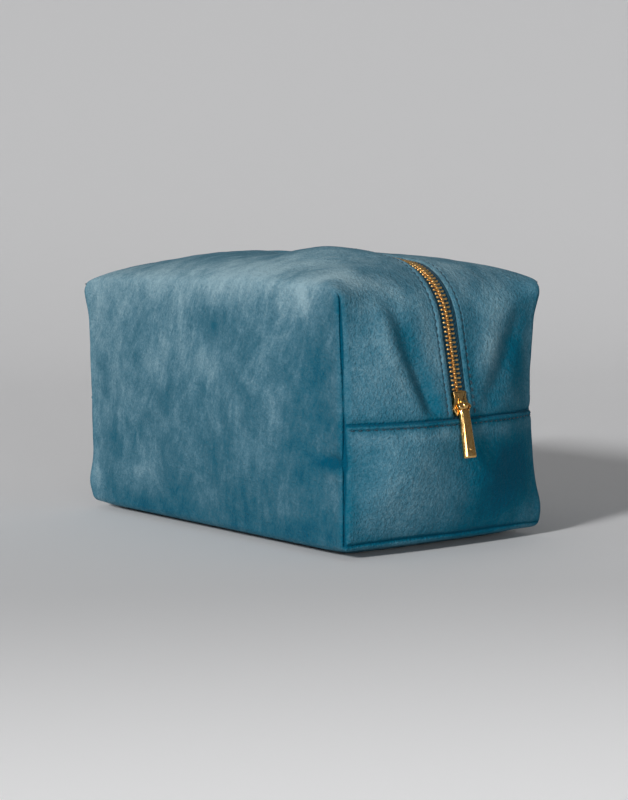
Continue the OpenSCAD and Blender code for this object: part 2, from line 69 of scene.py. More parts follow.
# Mouth and zip
SLOT_Y, FOLD_Y, LIP_R = 5.8, 58.0, 0.6
LEAN, SLOPE, ROLL_R = math.radians(11), math.radians(6), 38.0
TAPE_TOP, TAPE_T, TAPE_IN_Y, TAPE_OUT_Y = 1.3, 0.6, 1.2, 13.2
TAPE_MID = TAPE_TOP + TAPE_T / 2
TOOTH_PITCH, TOOTH_T, TOOTH_H, CHAIN_W = 2.2, 1.06, 2.6, 5.6
STOP_L, FAR_STOP_S = 1.6, 3.0
STITCH_PITCH, STITCH_L, STITCH_T, STITCH_ROW, STITCH_LIFT = 3.5, 2.5, 0.9, 2.6, 0.12
# Stations across the lip: turn round its edge, thickness of the cover there, and where the finer columns end
LIP_TURN, LIP_PLY = [180, 150, 120, 90, 60, 30], [0.03, 0.3, 0.5, 0.55, 0.5, 0.45, 0.6, 0.8, 1.0]
LIP_END_Y, COARSE_Y = 10.4, 7.0
# Distances of the columns beside an upright seam, and the band of finer rows under an end seam
BY_SEAM, SEAM_BAND = np.array([0, 0.25, 0.5, 0.8, 1.2, 1.7, 2.4, 3.3, 4.5, 6.0]), 4.5
# Depth of the tucks along the seams, and what is added to the distance from a seam where it fades out
TUCK, FADED, NO_SEAM = 1.5, 40.0, 99.0
# The cells in which points are sewn together, set off so that round sizes don't fall on their edges
SEW_CELL, SEW_OFFSET = 0.002, 0.000371

# Slider and pull
SLIDER_L, PLATE_T, SLIDER_GAP, SLIDER_REST, RIM_T = 12.6, 1.1, 0.15, 1.2, 0.45
PULL_L, PULL_TOP_W, PULL_END_W, PULL_T = 26.0, 5.8, 7.8, 2.4
CROSSBAR_D, EYE_L, LUG_DROP, PULL_GAP = 1.7, 4.2, 1.2, 0.4
LUG_R, EYE_W, POST_W, HEAD_R, HEAD_W, HEAD_ROOM = 2.15, 3.6, 1.8, 2.5, 7.6, 1.45

FLAT = TAPE_OUT_Y / HALF_W
TOP_DRAW, END_DRAW = 0.5, 0.9

# Zip path in the plane Y = 0: a leaning straight on each end, a round turn, and a shallow crown
_drop = CROWN_H - ROLL_R * math.cos(SLOPE) + ROLL_R * math.sin(LEAN) - SEAM_H
CROWN_HALF = (HALF_L + END_BULGE + ROLL_R * (math.sin(SLOPE) - math.cos(LEAN)) - _drop * math.tan(LEAN)) / (
    1 - math.tan(SLOPE / 2) * math.tan(LEAN))
CROWN_R = CROWN_HALF / math.sin(SLOPE)
TURN_X = CROWN_HALF - ROLL_R * math.sin(SLOPE)
TURN_Z = CROWN_H - CROWN_HALF * math.tan(SLOPE / 2) - ROLL_R * math.cos(SLOPE)
STRAIGHT_X = TURN_X + ROLL_R * math.cos(LEAN)
STRAIGHT_Z = TURN_Z + ROLL_R * math.sin(LEAN)
STRAIGHT_L = (STRAIGHT_Z - SEAM_H) / math.cos(LEAN)
TURN_ANGLE = math.pi / 2 - LEAN - SLOPE
TURN_L = (ROLL_R - TAPE_MID) * TURN_ANGLE
CROWN_L = (CROWN_R - TAPE_MID) * SLOPE
TURN_END_S = STRAIGHT_L + TURN_L
MIDDLE_S = TURN_END_S + CROWN_L
SLIDER_S = SLIDER_REST + SLIDER_L / 2


def lerp(a, b, f):
    return a + (b - a) * f


def ease(low, high, value):
    g = np.clip((value - low) / (high - low), 0, 1)
    return g * g * (3 - 2 * g)


def spaced(*runs):
    """Stations in one list, from runs of (first, last, steps) that meet end to end."""
    parts = [np.linspace(a, b, n + 1)[:-1] for a, b, n in runs]
    return np.concatenate(parts + [[runs[-1][1]]])


def fullness(t, draw):
    u = np.clip((np.abs(t) - FLAT) / (1 - FLAT), 0, 1)
    return np.maximum(0, 1 - u * u) ** draw


def waist(z, x_side, y_side):
    return WAIST[x_side, y_side] * np.sin(np.pi * np.minimum(z, CORNER_H) / CORNER_H) ** 2


def fold_in(z):
    drop = np.maximum(0, FOLD_R - z)
    return FOLD_R - np.sqrt(np.maximum(0, FOLD_R**2 - drop**2))


def wall_half(z):
    rise = np.maximum(0, z - CORNER_H + CORNER_R)
    low = np.clip(1 - z / BASE_ROLL, 0, 1)
    top = HALF_L - CORNER_R + np.sqrt(np.maximum(0, CORNER_R**2 - rise**2))
    return top - BASE_ROLL * (1 - np.sqrt(1 - low**2))


def end_out(z):
    f = z / SEAM_H
    return lerp(BASE_BULGE, END_BULGE, f) + END_BELLY * np.sin(np.pi * f)


def zip_frame(s, depth=TAPE_MID):
    """Points on the zip path, their outward normals and their directions, by the distance from the near end seam."""
    s = np.asarray(s, float)
    far = s > MIDDLE_S
    r = np.where(far, 2 * MIDDLE_S - s, s)
    tilt = np.where(
        r < STRAIGHT_L, np.pi / 2 - LEAN,
        np.where(r < TURN_END_S, np.pi / 2 - LEAN - TURN_ANGLE * (r - STRAIGHT_L) / TURN_L,
                 SLOPE * (1 - (r - TURN_END_S) / CROWN_L)))
    nx, nz = np.sin(tilt), np.cos(tilt)
    f = r / STRAIGHT_L
    x = np.where(r < STRAIGHT_L, lerp(HALF_L + END_BULGE, STRAIGHT_X, f) - depth * nx,
                 np.where(r < TURN_END_S, TURN_X + (ROLL_R - depth) * nx, (CROWN_R - depth) * nx))
    z = np.where(r < STRAIGHT_L, lerp(SEAM_H, STRAIGHT_Z, f) - depth * nz,
                 np.where(r < TURN_END_S, TURN_Z + (ROLL_R - depth) * nz, CROWN_H - CROWN_R + (CROWN_R - depth) * nz))
    side = np.where(far, -1.0, 1.0)
    zero = np.zeros_like(x)
    point = np.stack([x * side, zero, z], -1)
    out = np.stack([nx * side, zero, nz], -1)
    along = np.stack([-nz, zero, nx * side], -1)
    return point, out, along


def mound(p, centre, spread):
    """A soft bump of height 1, by its centre and its half-widths along X, Y and Z."""
    return np.exp(-np.sum(((p - LIFTED - centre) / spread) ** 2, axis=-1))


def crease(p, line, width):
    """A valley of depth 1 along a line of points, which fades out at both ends."""
    line = np.array(line, float) + LIFTED
    lengths = np.linalg.norm(np.diff(line, axis=0), axis=1)
    best, place, run = np.full(p.shape[:-1], np.inf), np.zeros(p.shape[:-1]), 0.0
    for a, b, length in zip(line, line[1:], lengths):
        f = np.clip(((p - a) @ (b - a)) / length**2, 0, 1)
        off = np.linalg.norm(p - (a + f[..., None] * (b - a)), axis=-1)
        place = np.where(off < best, run + f * length, place)
        best, run = np.minimum(best, off), run + length
    return np.exp(-((best / width) ** 2)) * np.sin(np.pi * (0.1 + 0.8 * place / run)) ** 0.7


# How the soft top stands up and sinks along its length: height, middle in X and Y, and half-widths
HEAVES = ((4.0, (58, -18), (32, 17)), (-2.8, (8, -4), (24, 30)), (1.5, (8, -15), (42, 9)),
          (0.6, (-48, -16), (30, 24)), (-1.0, (20, 35), (25, 18)), (1.5, (86, -13), (20, 7)))
HEAVE_Z, HEAVE_SPREAD = 142, 60


def heave(p):
    """The rise and fall of the top; the zip goes with it."""
    return sum(height * mound(p, (*middle, HEAVE_Z), (*spread, HEAVE_SPREAD)) for height, middle, spread in HEAVES)


def ripples(p, lengths, seed):
    """Seeded slack in the cloth: waves of random direction, with the given wavelengths."""
    rng = np.random.default_rng(seed)
    total = np.zeros(p.shape[:-1])
    for length in lengths:
        d = rng.normal(size=3)
        d *= 2 * np.pi / length / np.linalg.norm(d)
        total += np.sin(p @ d + rng.uniform(0, 2 * np.pi))
    return total / math.sqrt(len(lengths))


def grid_quads(n, m):
    """The quads of a grid of n by m points."""
    at = np.arange(n * m).reshape(n, m)
    return np.stack([at[:-1, :-1], at[:-1, 1:], at[1:, 1:], at[1:, :-1]], -1).reshape(-1, 4)


def edges_of(quads, count):
    """All the edges of a mesh of quads, and those of its open border."""
    edges = quads[:, [[0, 1], [1, 2], [2, 3], [3, 0]]].reshape(-1, 2)
    key = edges.min(1) * count + edges.max(1)
    _, first, times = np.unique(key, return_index=True, return_counts=True)
    return edges, edges[first[times == 1]]


# The shell is one grid mesh, sewn together where its panels meet, so that it shades as one skin
class Shell:
    def __init__(self):
        self.points, self.quads, self.labels, self.fields, self.size = [], [], [], [], 0

    def panel(self, grid, labels, **fields):
        """Adds a grid of points, facing away from the middle, with one label for all its faces or one for each."""
        n, m = grid.shape[:2]
        quads = self.size + grid_quads(n, m)
        facing = np.cross(grid[1:, 1:] - grid[:-1, :-1], grid[1:, :-1] - grid[:-1, 1:])
        flip = np.sum(facing * (grid[:-1, :-1] - [0, 0, HALF_W])) < 0
        self.points.append(grid.reshape(-1, 3))
        self.quads.append(quads[:, ::-1] if flip else quads)
        self.labels.append(np.broadcast_to(np.asarray(labels, object), (n - 1, m - 1)).ravel())
        named = {"thick": COVER_T, "calm": 1.0, "seam": NO_SEAM, **fields}
        self.fields.append({k: np.broadcast_to(v, (n, m)).ravel() for k, v in named.items()})
        self.size += n * m

    def sew(self):
        """Joins the panels along their shared edges."""
        points = np.concatenate(self.points)
        key = np.round((points + SEW_OFFSET) / SEW_CELL).astype(np.int64)
        _, first, place = np.unique(key, axis=0, return_index=True, return_inverse=True)
        self.points = points[first]
        self.quads = place.ravel()[np.concatenate(self.quads)]
        self.labels = np.concatenate(self.labels)
        self.thick, self.calm, self.seam = (
            np.concatenate([f[k] for f in self.fields])[first] for k in ("thick", "calm", "seam"))
        self.turn()

    def turn(self):
        """Works out the normals."""
        p = self.points[self.quads]
        face = np.cross(p[:, 2] - p[:, 0], p[:, 3] - p[:, 1])
        self.normals = np.zeros_like(self.points)
        for k in range(4):
            np.add.at(self.normals, self.quads[:, k], face)
        self.normals /= np.maximum(1e-9, np.linalg.norm(self.normals, axis=1))[:, None]

    def relax(self, rounds):
        """Evens the points out, away from the open edges."""
        edges, border = edges_of(self.quads, len(self.points))
        free = np.ones(len(self.points), bool)
        free[border.ravel()] = False
        degree = np.bincount(edges[:, 0], minlength=len(self.points))[:, None]
        for _ in range(rounds):
            total = np.zeros_like(self.points)
            np.add.at(total, edges[:, 0], self.points[edges[:, 1]])
            self.points = np.where(free[:, None], lerp(self.points, total / degree, 0.5), self.points)
        self.turn()


def run_length(grid, axis):
    """Distance along the rows or columns of a grid, from its first point."""
    step = np.linalg.norm(np.diff(grid, axis=axis), axis=-1)
    total = np.cumsum(step, axis=axis)
    return np.insert(total, 0, 0, axis=axis)


def seam_groove(distance):
    """Depth of a turned seam: a tight crease between two soft swells."""
    return 2.3 * np.exp(-distance / 0.8) - 0.6 * np.exp(-(((distance - 4) / 2.4) ** 2))


def thinned(thick, seam):
    """Thickness of the cover, less beside a seam so that its back never comes through."""
    return np.minimum(thick, SEAM_T + (COVER_T - SEAM_T) * ease(0.6, 6, seam))


def panel_stations(coarse):
    """Rows and columns of the panels' grids; a coarse shell has half as many, no lip and no sewn seams."""
    k = 2 if coarse else 1
    first_y = COARSE_Y if coarse else SLOT_Y
    rise = np.degrees(np.arcsin((FOLD_Y / HALF_W - FLAT) / (1 - FLAT)))
    crest = FLAT + (1 - FLAT) * np.sin(np.radians(np.linspace(rise, 90, 14 // k + 1)))
    flat_y = spaced((first_y, LIP_END_Y, 16 // k), (LIP_END_Y, FOLD_Y, 34 // k))[:-1]
    across = np.concatenate([flat_y / HALF_W, crest])
    # The lip over the zip: the cover turns under, round a small radius
    lip = np.radians([] if coarse else LIP_TURN)
    from_zip = np.concatenate([(SLOT_Y - LIP_R * np.sin(lip)) / HALF_W, across])
    thick = np.full(len(from_zip), COVER_T)
    if not coarse:
        thick[:len(LIP_PLY)] = LIP_PLY
    middle = np.linspace(-first_y, first_y, 12 // k + 1)[1:-1] / HALF_W
    by_seam = 1 - BY_SEAM[::k] / HALF_L
    band_z = SEAM_H - SEAM_BAND
    return SimpleNamespace(
        sewn=0.0 if coarse else 1.0, from_zip=from_zip, thick=thick,
        lip_depth=np.concatenate([LIP_R * (1 - np.cos(lip)), np.zeros(len(across))]),
        width=np.concatenate([-across[::-1], middle, across]),
        length=np.concatenate([by_seam, np.linspace(0.94, -0.94, 120 // k + 1), -by_seam[::-1]]),
        straight=spaced((0, 4 / STRAIGHT_L, 10 // k), (4 / STRAIGHT_L, 1, 36 // k)),
        turn=np.linspace(0, 1, 40 // k + 1), roll=np.radians(np.linspace(0, 90, 8 // k + 1)),
        panel_z=spaced((BASE_ROLL, 6, 4 // k), (6, band_z, 40 // k), (band_z, SEAM_H, 12 // k)))


def zip_rows(at):
    """Rows from the near end seam over the top to the far one: X and Z at the zip, X and Z at the wall's edge,
    how far round the turn (2 on the crown), the tilt, and the end."""
    rows = []
    for _, x_side in END_SIDES:
        straight = (lerp(HALF_L + END_BULGE, STRAIGHT_X, at.straight), lerp(SEAM_H, STRAIGHT_Z, at.straight),
                    np.full_like(at.straight, HALF_L), lerp(SEAM_H, CORNER_H - CORNER_R, at.straight),
                    np.zeros_like(at.straight), np.full_like(at.straight, np.pi / 2 - LEAN))
        a = lerp(np.pi / 2 - LEAN, SLOPE, at.turn)
        turn = (TURN_X + ROLL_R * np.sin(a), TURN_Z + ROLL_R * np.cos(a),
                HALF_L - CORNER_R * (1 - np.cos(np.pi / 2 * at.turn)),
                CORNER_H - CORNER_R * (1 - np.sin(np.pi / 2 * at.turn)), at.turn, a)
        end = [np.concatenate([u, v[1:]]) for u, v in zip(straight, turn)]
        end = np.array([end[0] * x_side, end[1], end[2] * x_side, *end[3:], np.full(len(end[0]), x_side)])
        rows.append(end if x_side > 0 else end[:, ::-1])
    q = at.length[1:-1]
    crown_rows = np.array([CROWN_R * np.sin(SLOPE * q), CROWN_H - CROWN_R * (1 - np.cos(SLOPE * q)),
                           (HALF_L - CORNER_R) * q, np.full_like(q, CORNER_H), np.full_like(q, 2),
                           np.abs(SLOPE * q), np.where(q >= 0, 1, -1)])
    return np.concatenate([rows[0], crown_rows, rows[1]], axis=1)


def upper_panels(shell, at, wall, y_side):
    """Half of the top and of both upper ends: rows along the zip, columns from the zip to the wall."""
    zx, zz, ex, ez, turned, tilt, x_side = zip_rows(at)
    t = at.from_zip
    drawn = np.where(x_side > 0, waist(ez, 1, y_side), waist(ez, -1, y_side))
    fade = 1 - ease(0.3, 0.95, turned)
    draw = lerp(END_DRAW, TOP_DRAW, ease(0, 1, turned))
    full = fullness(t[None, :], draw[:, None])
    out = np.stack([np.sin(tilt) * x_side, 0 * tilt, np.cos(tilt)], -1)
    grid = np.stack([lerp(ex[:, None], zx[:, None], full), y_side * t[None, :] * (HALF_W - drawn)[:, None],
                     lerp(ez[:, None], zz[:, None], full)], -1)
    up = run_length(grid[:, ::-1], 1)[:, ::-1]
    down = run_length(grid, 0)
    below = np.minimum(down, down[-1:] - down)
    grid = grid - at.lip_depth[None, :, None] * out[:, None, :]
    # Raised lip, sewn down by the stitch row beside it
    beside = np.maximum(0, t * HALF_W - SLOT_Y)
    s = run_length(np.stack([zx, zz], -1), 0)
    pucker = 0.5 + 0.16 * np.cos(2 * np.pi * s / STITCH_PITCH)
    swell = 0.25 * (1 - ease(STITCH_ROW, 7, beside)) + 0.3 * np.sin(np.pi * np.clip(beside / STITCH_ROW, 0, 1))
    raised = swell[None, :] - pucker[:, None] * np.exp(-(((beside - STITCH_ROW) / 0.5) ** 2))[None, :]
    grid = grid + at.sewn * (raised * ease(0, 3, below))[..., None] * out[:, None, :]
    # Turned upright seams, and the edge tucked under the end seam
    inward = np.stack([-x_side, np.full_like(x_side, -y_side), 0 * x_side], -1) / math.sqrt(2)
    grid = grid + at.sewn * (seam_groove(up) * fade[:, None])[..., None] * inward[:, None, :]
    tuck = TUCK * np.exp(-below / 1.3) * ease(0, 3, up) * (turned < 1)[:, None]
    grid = grid + at.sewn * tuck[..., None] * np.stack([-x_side, 0 * x_side, 0 * x_side], -1)[:, None, :]
    # Each face by its panel: the corners, the flap's two halves, and the crest that belongs to the wall
    crown_at = np.flatnonzero(turned > 1)
    crown_from, crown_to = crown_at[0] - 1, crown_at[-1] + 1
    face_end = np.repeat(["near"], len(zx) - 1).astype(object)
    face_end[crown_from + len(crown_at) // 2:] = "far"
    in_crown = np.zeros(len(zx) - 1, bool)
    in_crown[crown_from:crown_to] = True
    is_crest = t[:-1] >= FOLD_Y / HALF_W - 1e-6
    labels = np.where(in_crown[:, None],
                      np.where(is_crest[None, :], wall, (wall + "_flap_" + face_end)[:, None]),
                      (face_end + "_" + wall + "_corner")[:, None])
    calm = ease(8, 18, t * HALF_W)[None, :] * ease(0, 6, below)
    seam = np.minimum(up + FADED * (1 - fade)[:, None], below)
    shell.panel(grid, labels, thick=thinned(at.thick[None, :], seam), calm=calm, seam=seam)


def wall_panel(shell, at, wall, y_side):
    """A wall: rows up from the base fold, columns along X."""
    edge_z = np.concatenate([BASE_ROLL * (1 - np.cos(at.roll)), at.panel_z[1:],
                             lerp(SEAM_H, CORNER_H - CORNER_R, at.straight[1:]),
                             CORNER_H - CORNER_R * (1 - np.sin(np.pi / 2 * at.turn[1:]))])[:, None]
    even_z = np.concatenate([edge_z[:1 - len(at.turn)], CORNER_H - CORNER_R * (1 - at.turn[1:, None])])
    q = at.length[None, :]
    z = lerp(even_z, edge_z, np.abs(q) ** 8)
    drawn = np.where(q > 0, waist(z, 1, y_side), waist(z, -1, y_side)) * np.abs(q) ** 6
    out_y = HALF_W - fold_in(z) - drawn + SIDE_BULGE * (1 - q * q) * 4 * z * (CORNER_H - z) / CORNER_H**2
    grid = np.stack([q * wall_half(edge_z), y_side * out_y, z + 0 * q], -1)
    up = (1 - np.abs(q)) * wall_half(edge_z)
    turned = 2 / np.pi * np.arcsin(np.clip((edge_z - CORNER_H + CORNER_R) / CORNER_R, 0, 1))
    fade = ease(0, BASE_ROLL, edge_z) * (1 - ease(0.3, 0.95, turned))
    inward = np.stack([-np.where(q > 0, 1.0, -1.0) + 0 * z, -y_side + 0 * q + 0 * z, 0 * q + 0 * z], -1)
    grid = grid + at.sewn * (seam_groove(up) * fade)[..., None] * inward / math.sqrt(2)
    seam = up + FADED * (1 - fade)
    shell.panel(grid, wall, thick=thinned(COVER_T, seam), calm=ease(0, 5, z), seam=seam)


def end_panels(shell, at, end, x_side):
    """The panel below an end seam, and the strip of the base that rolls up to it."""
    t, rolled = at.width[None, :], at.roll[:, None]
    for label, z in ((end + "_end", at.panel_z[:, None]), ("base", BASE_ROLL * (1 - np.cos(rolled)))):
        edge_y = HALF_W - fold_in(z) - np.where(t > 0, waist(z, x_side, 1), waist(z, x_side, -1))
        x = HALF_L + end_out(np.maximum(z, BASE_ROLL)) * fullness(t, END_DRAW)
        if label == "base":
            x = x - BASE_ROLL * (1 - np.sin(rolled))
        grid = np.stack([x_side * x, t * edge_y, z + 0 * t], -1)
        up = np.minimum(run_length(grid, 1), run_length(grid[:, ::-1], 1)[:, ::-1])
        inward = np.stack([-x_side + 0 * t + 0 * z, -np.sign(t) + 0 * z, 0 * t + 0 * z], -1) / math.sqrt(2)
        fade = ease(0, BASE_ROLL, z)
        grid = grid + at.sewn * (seam_groove(up) * fade)[..., None] * inward
        off = BASE_ROLL * (np.pi / 2 - rolled) if label == "base" else np.abs(z - BASE_ROLL)
        sunk = TUCK * np.exp(-off / 0.7) * ease(0, 4, up) * ease(0, BASE_ROLL / 2, z)
        if label != "base":
            # The panel's folded top edge stands proud of its stitch row and hides the upper panel's edge
            off = SEAM_H - z
            fold = 0.75 * np.sin(np.pi * np.clip((off - 0.2) / (STITCH_ROW - 0.2), 0, 1)) ** 0.8
            row = (0.45 + 0.14 * np.cos(2 * np.pi * t * HALF_W / STITCH_PITCH)) * np.exp(
                -(((off - STITCH_ROW) / 0.5) ** 2))
            sunk = sunk + (TUCK * np.exp(-off / 0.35) - fold + row) * ease(0, 3, up)
        grid = grid - at.sewn * (sunk * x_side)[..., None] * np.array([1.0, 0, 0])
        seam = np.minimum(np.minimum(up + FADED * (1 - fade), np.abs(z - BASE_ROLL)), SEAM_H - z)
        calm = ease(0, 4, z) * ease(0, 6, SEAM_H - z)
        shell.panel(grid, label, thick=thinned(COVER_T, seam), calm=calm, seam=seam)


def base_panel(shell, at):
    """The base, flat on the floor between the folds and the rolled ends."""
    q, t = at.length[:, None], at.width[None, :]
    reach = HALF_L + end_out(BASE_ROLL) * fullness(t, END_DRAW) - BASE_ROLL
    grid = np.stack([q * reach, t * (HALF_W - FOLD_R) + 0 * q, 0 * q * t], -1)
    shell.panel(grid, "base", calm=0.0)


def build_shell(coarse=False):
    """The outer skin with its seams, or a coarse plain one for the lining to follow."""
    shell, at = Shell(), panel_stations(coarse)
    for wall, y_side in WALL_SIDES:
        upper_panels(shell, at, wall, y_side)
        wall_panel(shell, at, wall, y_side)
    for end, x_side in END_SIDES:
        end_panels(shell, at, end, x_side)
    base_panel(shell, at)
    shell.sew()
    return shell


# Slack of the whole skin: height, wavelengths and seed
SLACK = ((0.42, (34, 41, 47, 55, 62, 75, 88), 11), (0.11, (9, 11, 13, 15, 18, 21), 12))
# Slack folds in the ends, beside the zip: depth, the valley's line, and its half-width; below zero is a ridge
FOLDS = ((6.5, ((133, -34, 124), (138, -26, 92), (140, -15, 62)), 4.6), (-2.4, ((131, -43, 122), (138, -35, 84)), 5),
         (2.4, ((131, 50, 112), (139, 18, 66)), 5.5), (-1.0, ((133, 30, 118), (138, 20, 84)), 8),
         (4.0, ((-134, 34, 120), (-140, 16, 68)), 6), (3.0, ((-132, -44, 112), (-139, -18, 70)), 7),
         (-1.6, ((134, -56, 20), (140, -26, 44)), 12), (1.6, ((136, 22, 12), (138, 44, 44)), 12))
# A pinch beside the near upright seam, folds in the two walls, and their swells: height, middle and half-widths
PINCH = ((2.6, ((106, -66, 44), (126, -63, 41)), 2.6), (-1.4, ((108, -66, 37), (126, -63, 35)), 3))
WALL_FOLDS = ((1.5, ((103, -66, 100), (110, -66, 30)), 13), (1.3, ((60, 66, 112), (110, 66, 60)), 9))
WALL_SWELLS = ((1.2, (30, -66, 60), (60, 30, 36)), (-1.0, (-40, 66, 70), (40, 30, 30)))
# How far the boxed corners of the top and the corners of the base stand out, by end and wall
CORNERS_OUT = ((1, -1, 1.0, 1.0), (1, 1, 3.0, 1.8), (-1, -1, 2.2, 2.4), (-1, 1, 2.0, 1.5))
# How far in from the ends and the walls, and how far up, the base's edges lift
LIFT_FROM_END, LIFT_FROM_WALL, LIFT_UP = 22, 18, 34


def slacken(shell, pinched):
    """Moves the skin as filled soft cloth lies: dents, folds and slack, and the rise and fall of the top."""
    p = shell.points
    move = sum(height * ripples(p, lengths, seed) for height, lengths, seed in SLACK)
    for depth, line, width in FOLDS:
        move -= depth * crease(p, line, width)
    for depth, line, width in PINCH:
        move -= pinched * depth * crease(p, line, width)
    for depth, line, width in WALL_FOLDS:
        move -= depth * crease(p, line, width)
    for height, middle, spread in WALL_SWELLS:
        move += height * mound(p, middle, spread)
    moved = p + (move * shell.calm)[:, None] * shell.normals
    for x_side, y_side, top, foot in CORNERS_OUT:
        outward = np.array([x_side, y_side, 0.5])
        moved += top * mound(p, (x_side * 124, y_side * 61.5, 122), (10, 10, 10))[:, None] * outward / 1.5
        outward[2] = 0
        moved += foot * mound(p, (x_side * 124, y_side * 61, 8), (13, 13, 11))[:, None] * outward / 1.41
    # The filled base bulges, so that its edges lift off the floor
    end_x = HALF_L + BASE_BULGE * fullness(p[:, 1] / HALF_W, END_DRAW)
    from_end = 1 - ease(0, LIFT_FROM_END, end_x - np.abs(p[:, 0]))
    from_wall = 1 - ease(0, LIFT_FROM_WALL, HALF_W - np.abs(p[:, 1]))
    lift = END_LIFT * from_end + WALL_LIFT * from_wall - 0.5 * (END_LIFT + WALL_LIFT) * from_end * from_wall
    moved[:, 2] += lift * (1 - ease(0, LIFT_UP, p[:, 2]))
    shell.points = moved
    shell.points[:, 2] = np.maximum(shell.points[:, 2] + heave(p), 0)
    shell.turn()


def closed_sheet(points, quads, normals, thick):
    """A sheet with a thickness: its points, its faces, the normals at their corners, and the points it was cut from."""
    used, local = np.unique(quads, return_inverse=True)
    local = local.reshape(-1, 4)
    outer, n, count = points[used], normals[used], len(used)
    inner = outer - n * np.broadcast_to(thick, len(points))[used][:, None]
    _, rim = edges_of(local, count)
    sides = np.stack([rim[:, 1], rim[:, 0], rim[:, 0] + count, rim[:, 1] + count], 1)
    both = np.concatenate([outer, inner])
    flat = np.cross(both[sides[:, 2]] - both[sides[:, 0]], both[sides[:, 3]] - both[sides[:, 1]])
    flat /= np.maximum(1e-12, np.linalg.norm(flat, axis=1))[:, None]
    faces = np.concatenate([local, local[:, ::-1] + count, sides])
    corners = np.concatenate([n[local].reshape(-1, 3), -n[local[:, ::-1]].reshape(-1, 3),
                              np.repeat(flat, 4, axis=0)])
    return both, faces, corners, used


def make_piece(name, points, faces, finish, corners=None, **layers):
    """A mesh object from points in millimetres, with its finish and any named layers of point values."""
    mesh = bpy.data.meshes.new(name)
    mesh.from_pydata((np.asarray(points) * MM).tolist(), [], [list(map(int, f)) for f in faces])
    mesh.polygons.foreach_set("use_smooth", np.ones(len(mesh.polygons), bool))
    for layer, values in layers.items():
        mesh.attributes.new(layer, "FLOAT", "POINT").data.foreach_set("value", np.asarray(values, np.float32))
    mesh.materials.append(finish)
    mesh.update()
    if corners is not None:
        mesh.normals_split_custom_set(np.asarray(corners, np.float32).tolist())
    piece = bpy.data.objects.new(name, mesh)
    bpy.context.scene.collection.objects.link(piece)
    return piece


# Materials
def linear(hex_colour):
    """An sRGB hex colour as linear RGBA."""
    parts = [int(hex_colour[i:i + 2], 16) / 255 for i in (1, 3, 5)]
    return tuple(c / 12.92 if c <= 0.04045 else ((c + 0.055) / 1.055) ** 2.4 for c in parts) + (1.0,)


def add(tree, kind, inputs=None, stops=(), **settings):
    """Adds a node with its settings; an input is a value or the socket that feeds it, and stops colour a ramp."""
    node = tree.nodes.new(kind)
    for key, value in settings.items():
        setattr(node, key, value)
    for key, value in (inputs or {}).items():
        if isinstance(value, bpy.types.NodeSocket):
            tree.links.new(value, node.inputs[key])
        else:
            node.inputs[key].default_value = value
    if stops:
        elements = node.color_ramp.elements
        while len(elements) < len(stops):
            elements.new(0.5)
        for element, (place, colour) in zip(elements, stops):
            element.position, element.color = place, linear(colour)
    return node


def new_material(name):
    """An empty material, its nodes, and the place on the piece that its patterns go by."""
    material = bpy.data.materials.new(name)
    material.use_nodes = True
    tree = material.node_tree
    tree.nodes.clear()
    return material, tree, add(tree, "ShaderNodeTexCoord").outputs["Object"]


def per_metre(size_mm):
    """A pattern's scale from the size of its features."""
    return 1 / (size_mm * MM)


def ribs_per_metre(pitch_mm):
    """A wave pattern's scale from the distance between its ribs; at a scale of 1 they are 2 pi / 20 apart."""
    return per_metre(pitch_mm) * 2 * math.pi / 20


def weighted(tree, *terms):
    """Sum of (socket - 0.5) x weight, around 0.5."""
    total = 0.5
    for socket, weight in terms:
        centred = add(tree, "ShaderNodeMath", {0: socket, 1: 0.5}, operation="SUBTRACT").outputs[0]
        total = add(tree, "ShaderNodeMath", {0: centred, 1: weight, 2: total}, operation="MULTIPLY_ADD").outputs[0]
    return total


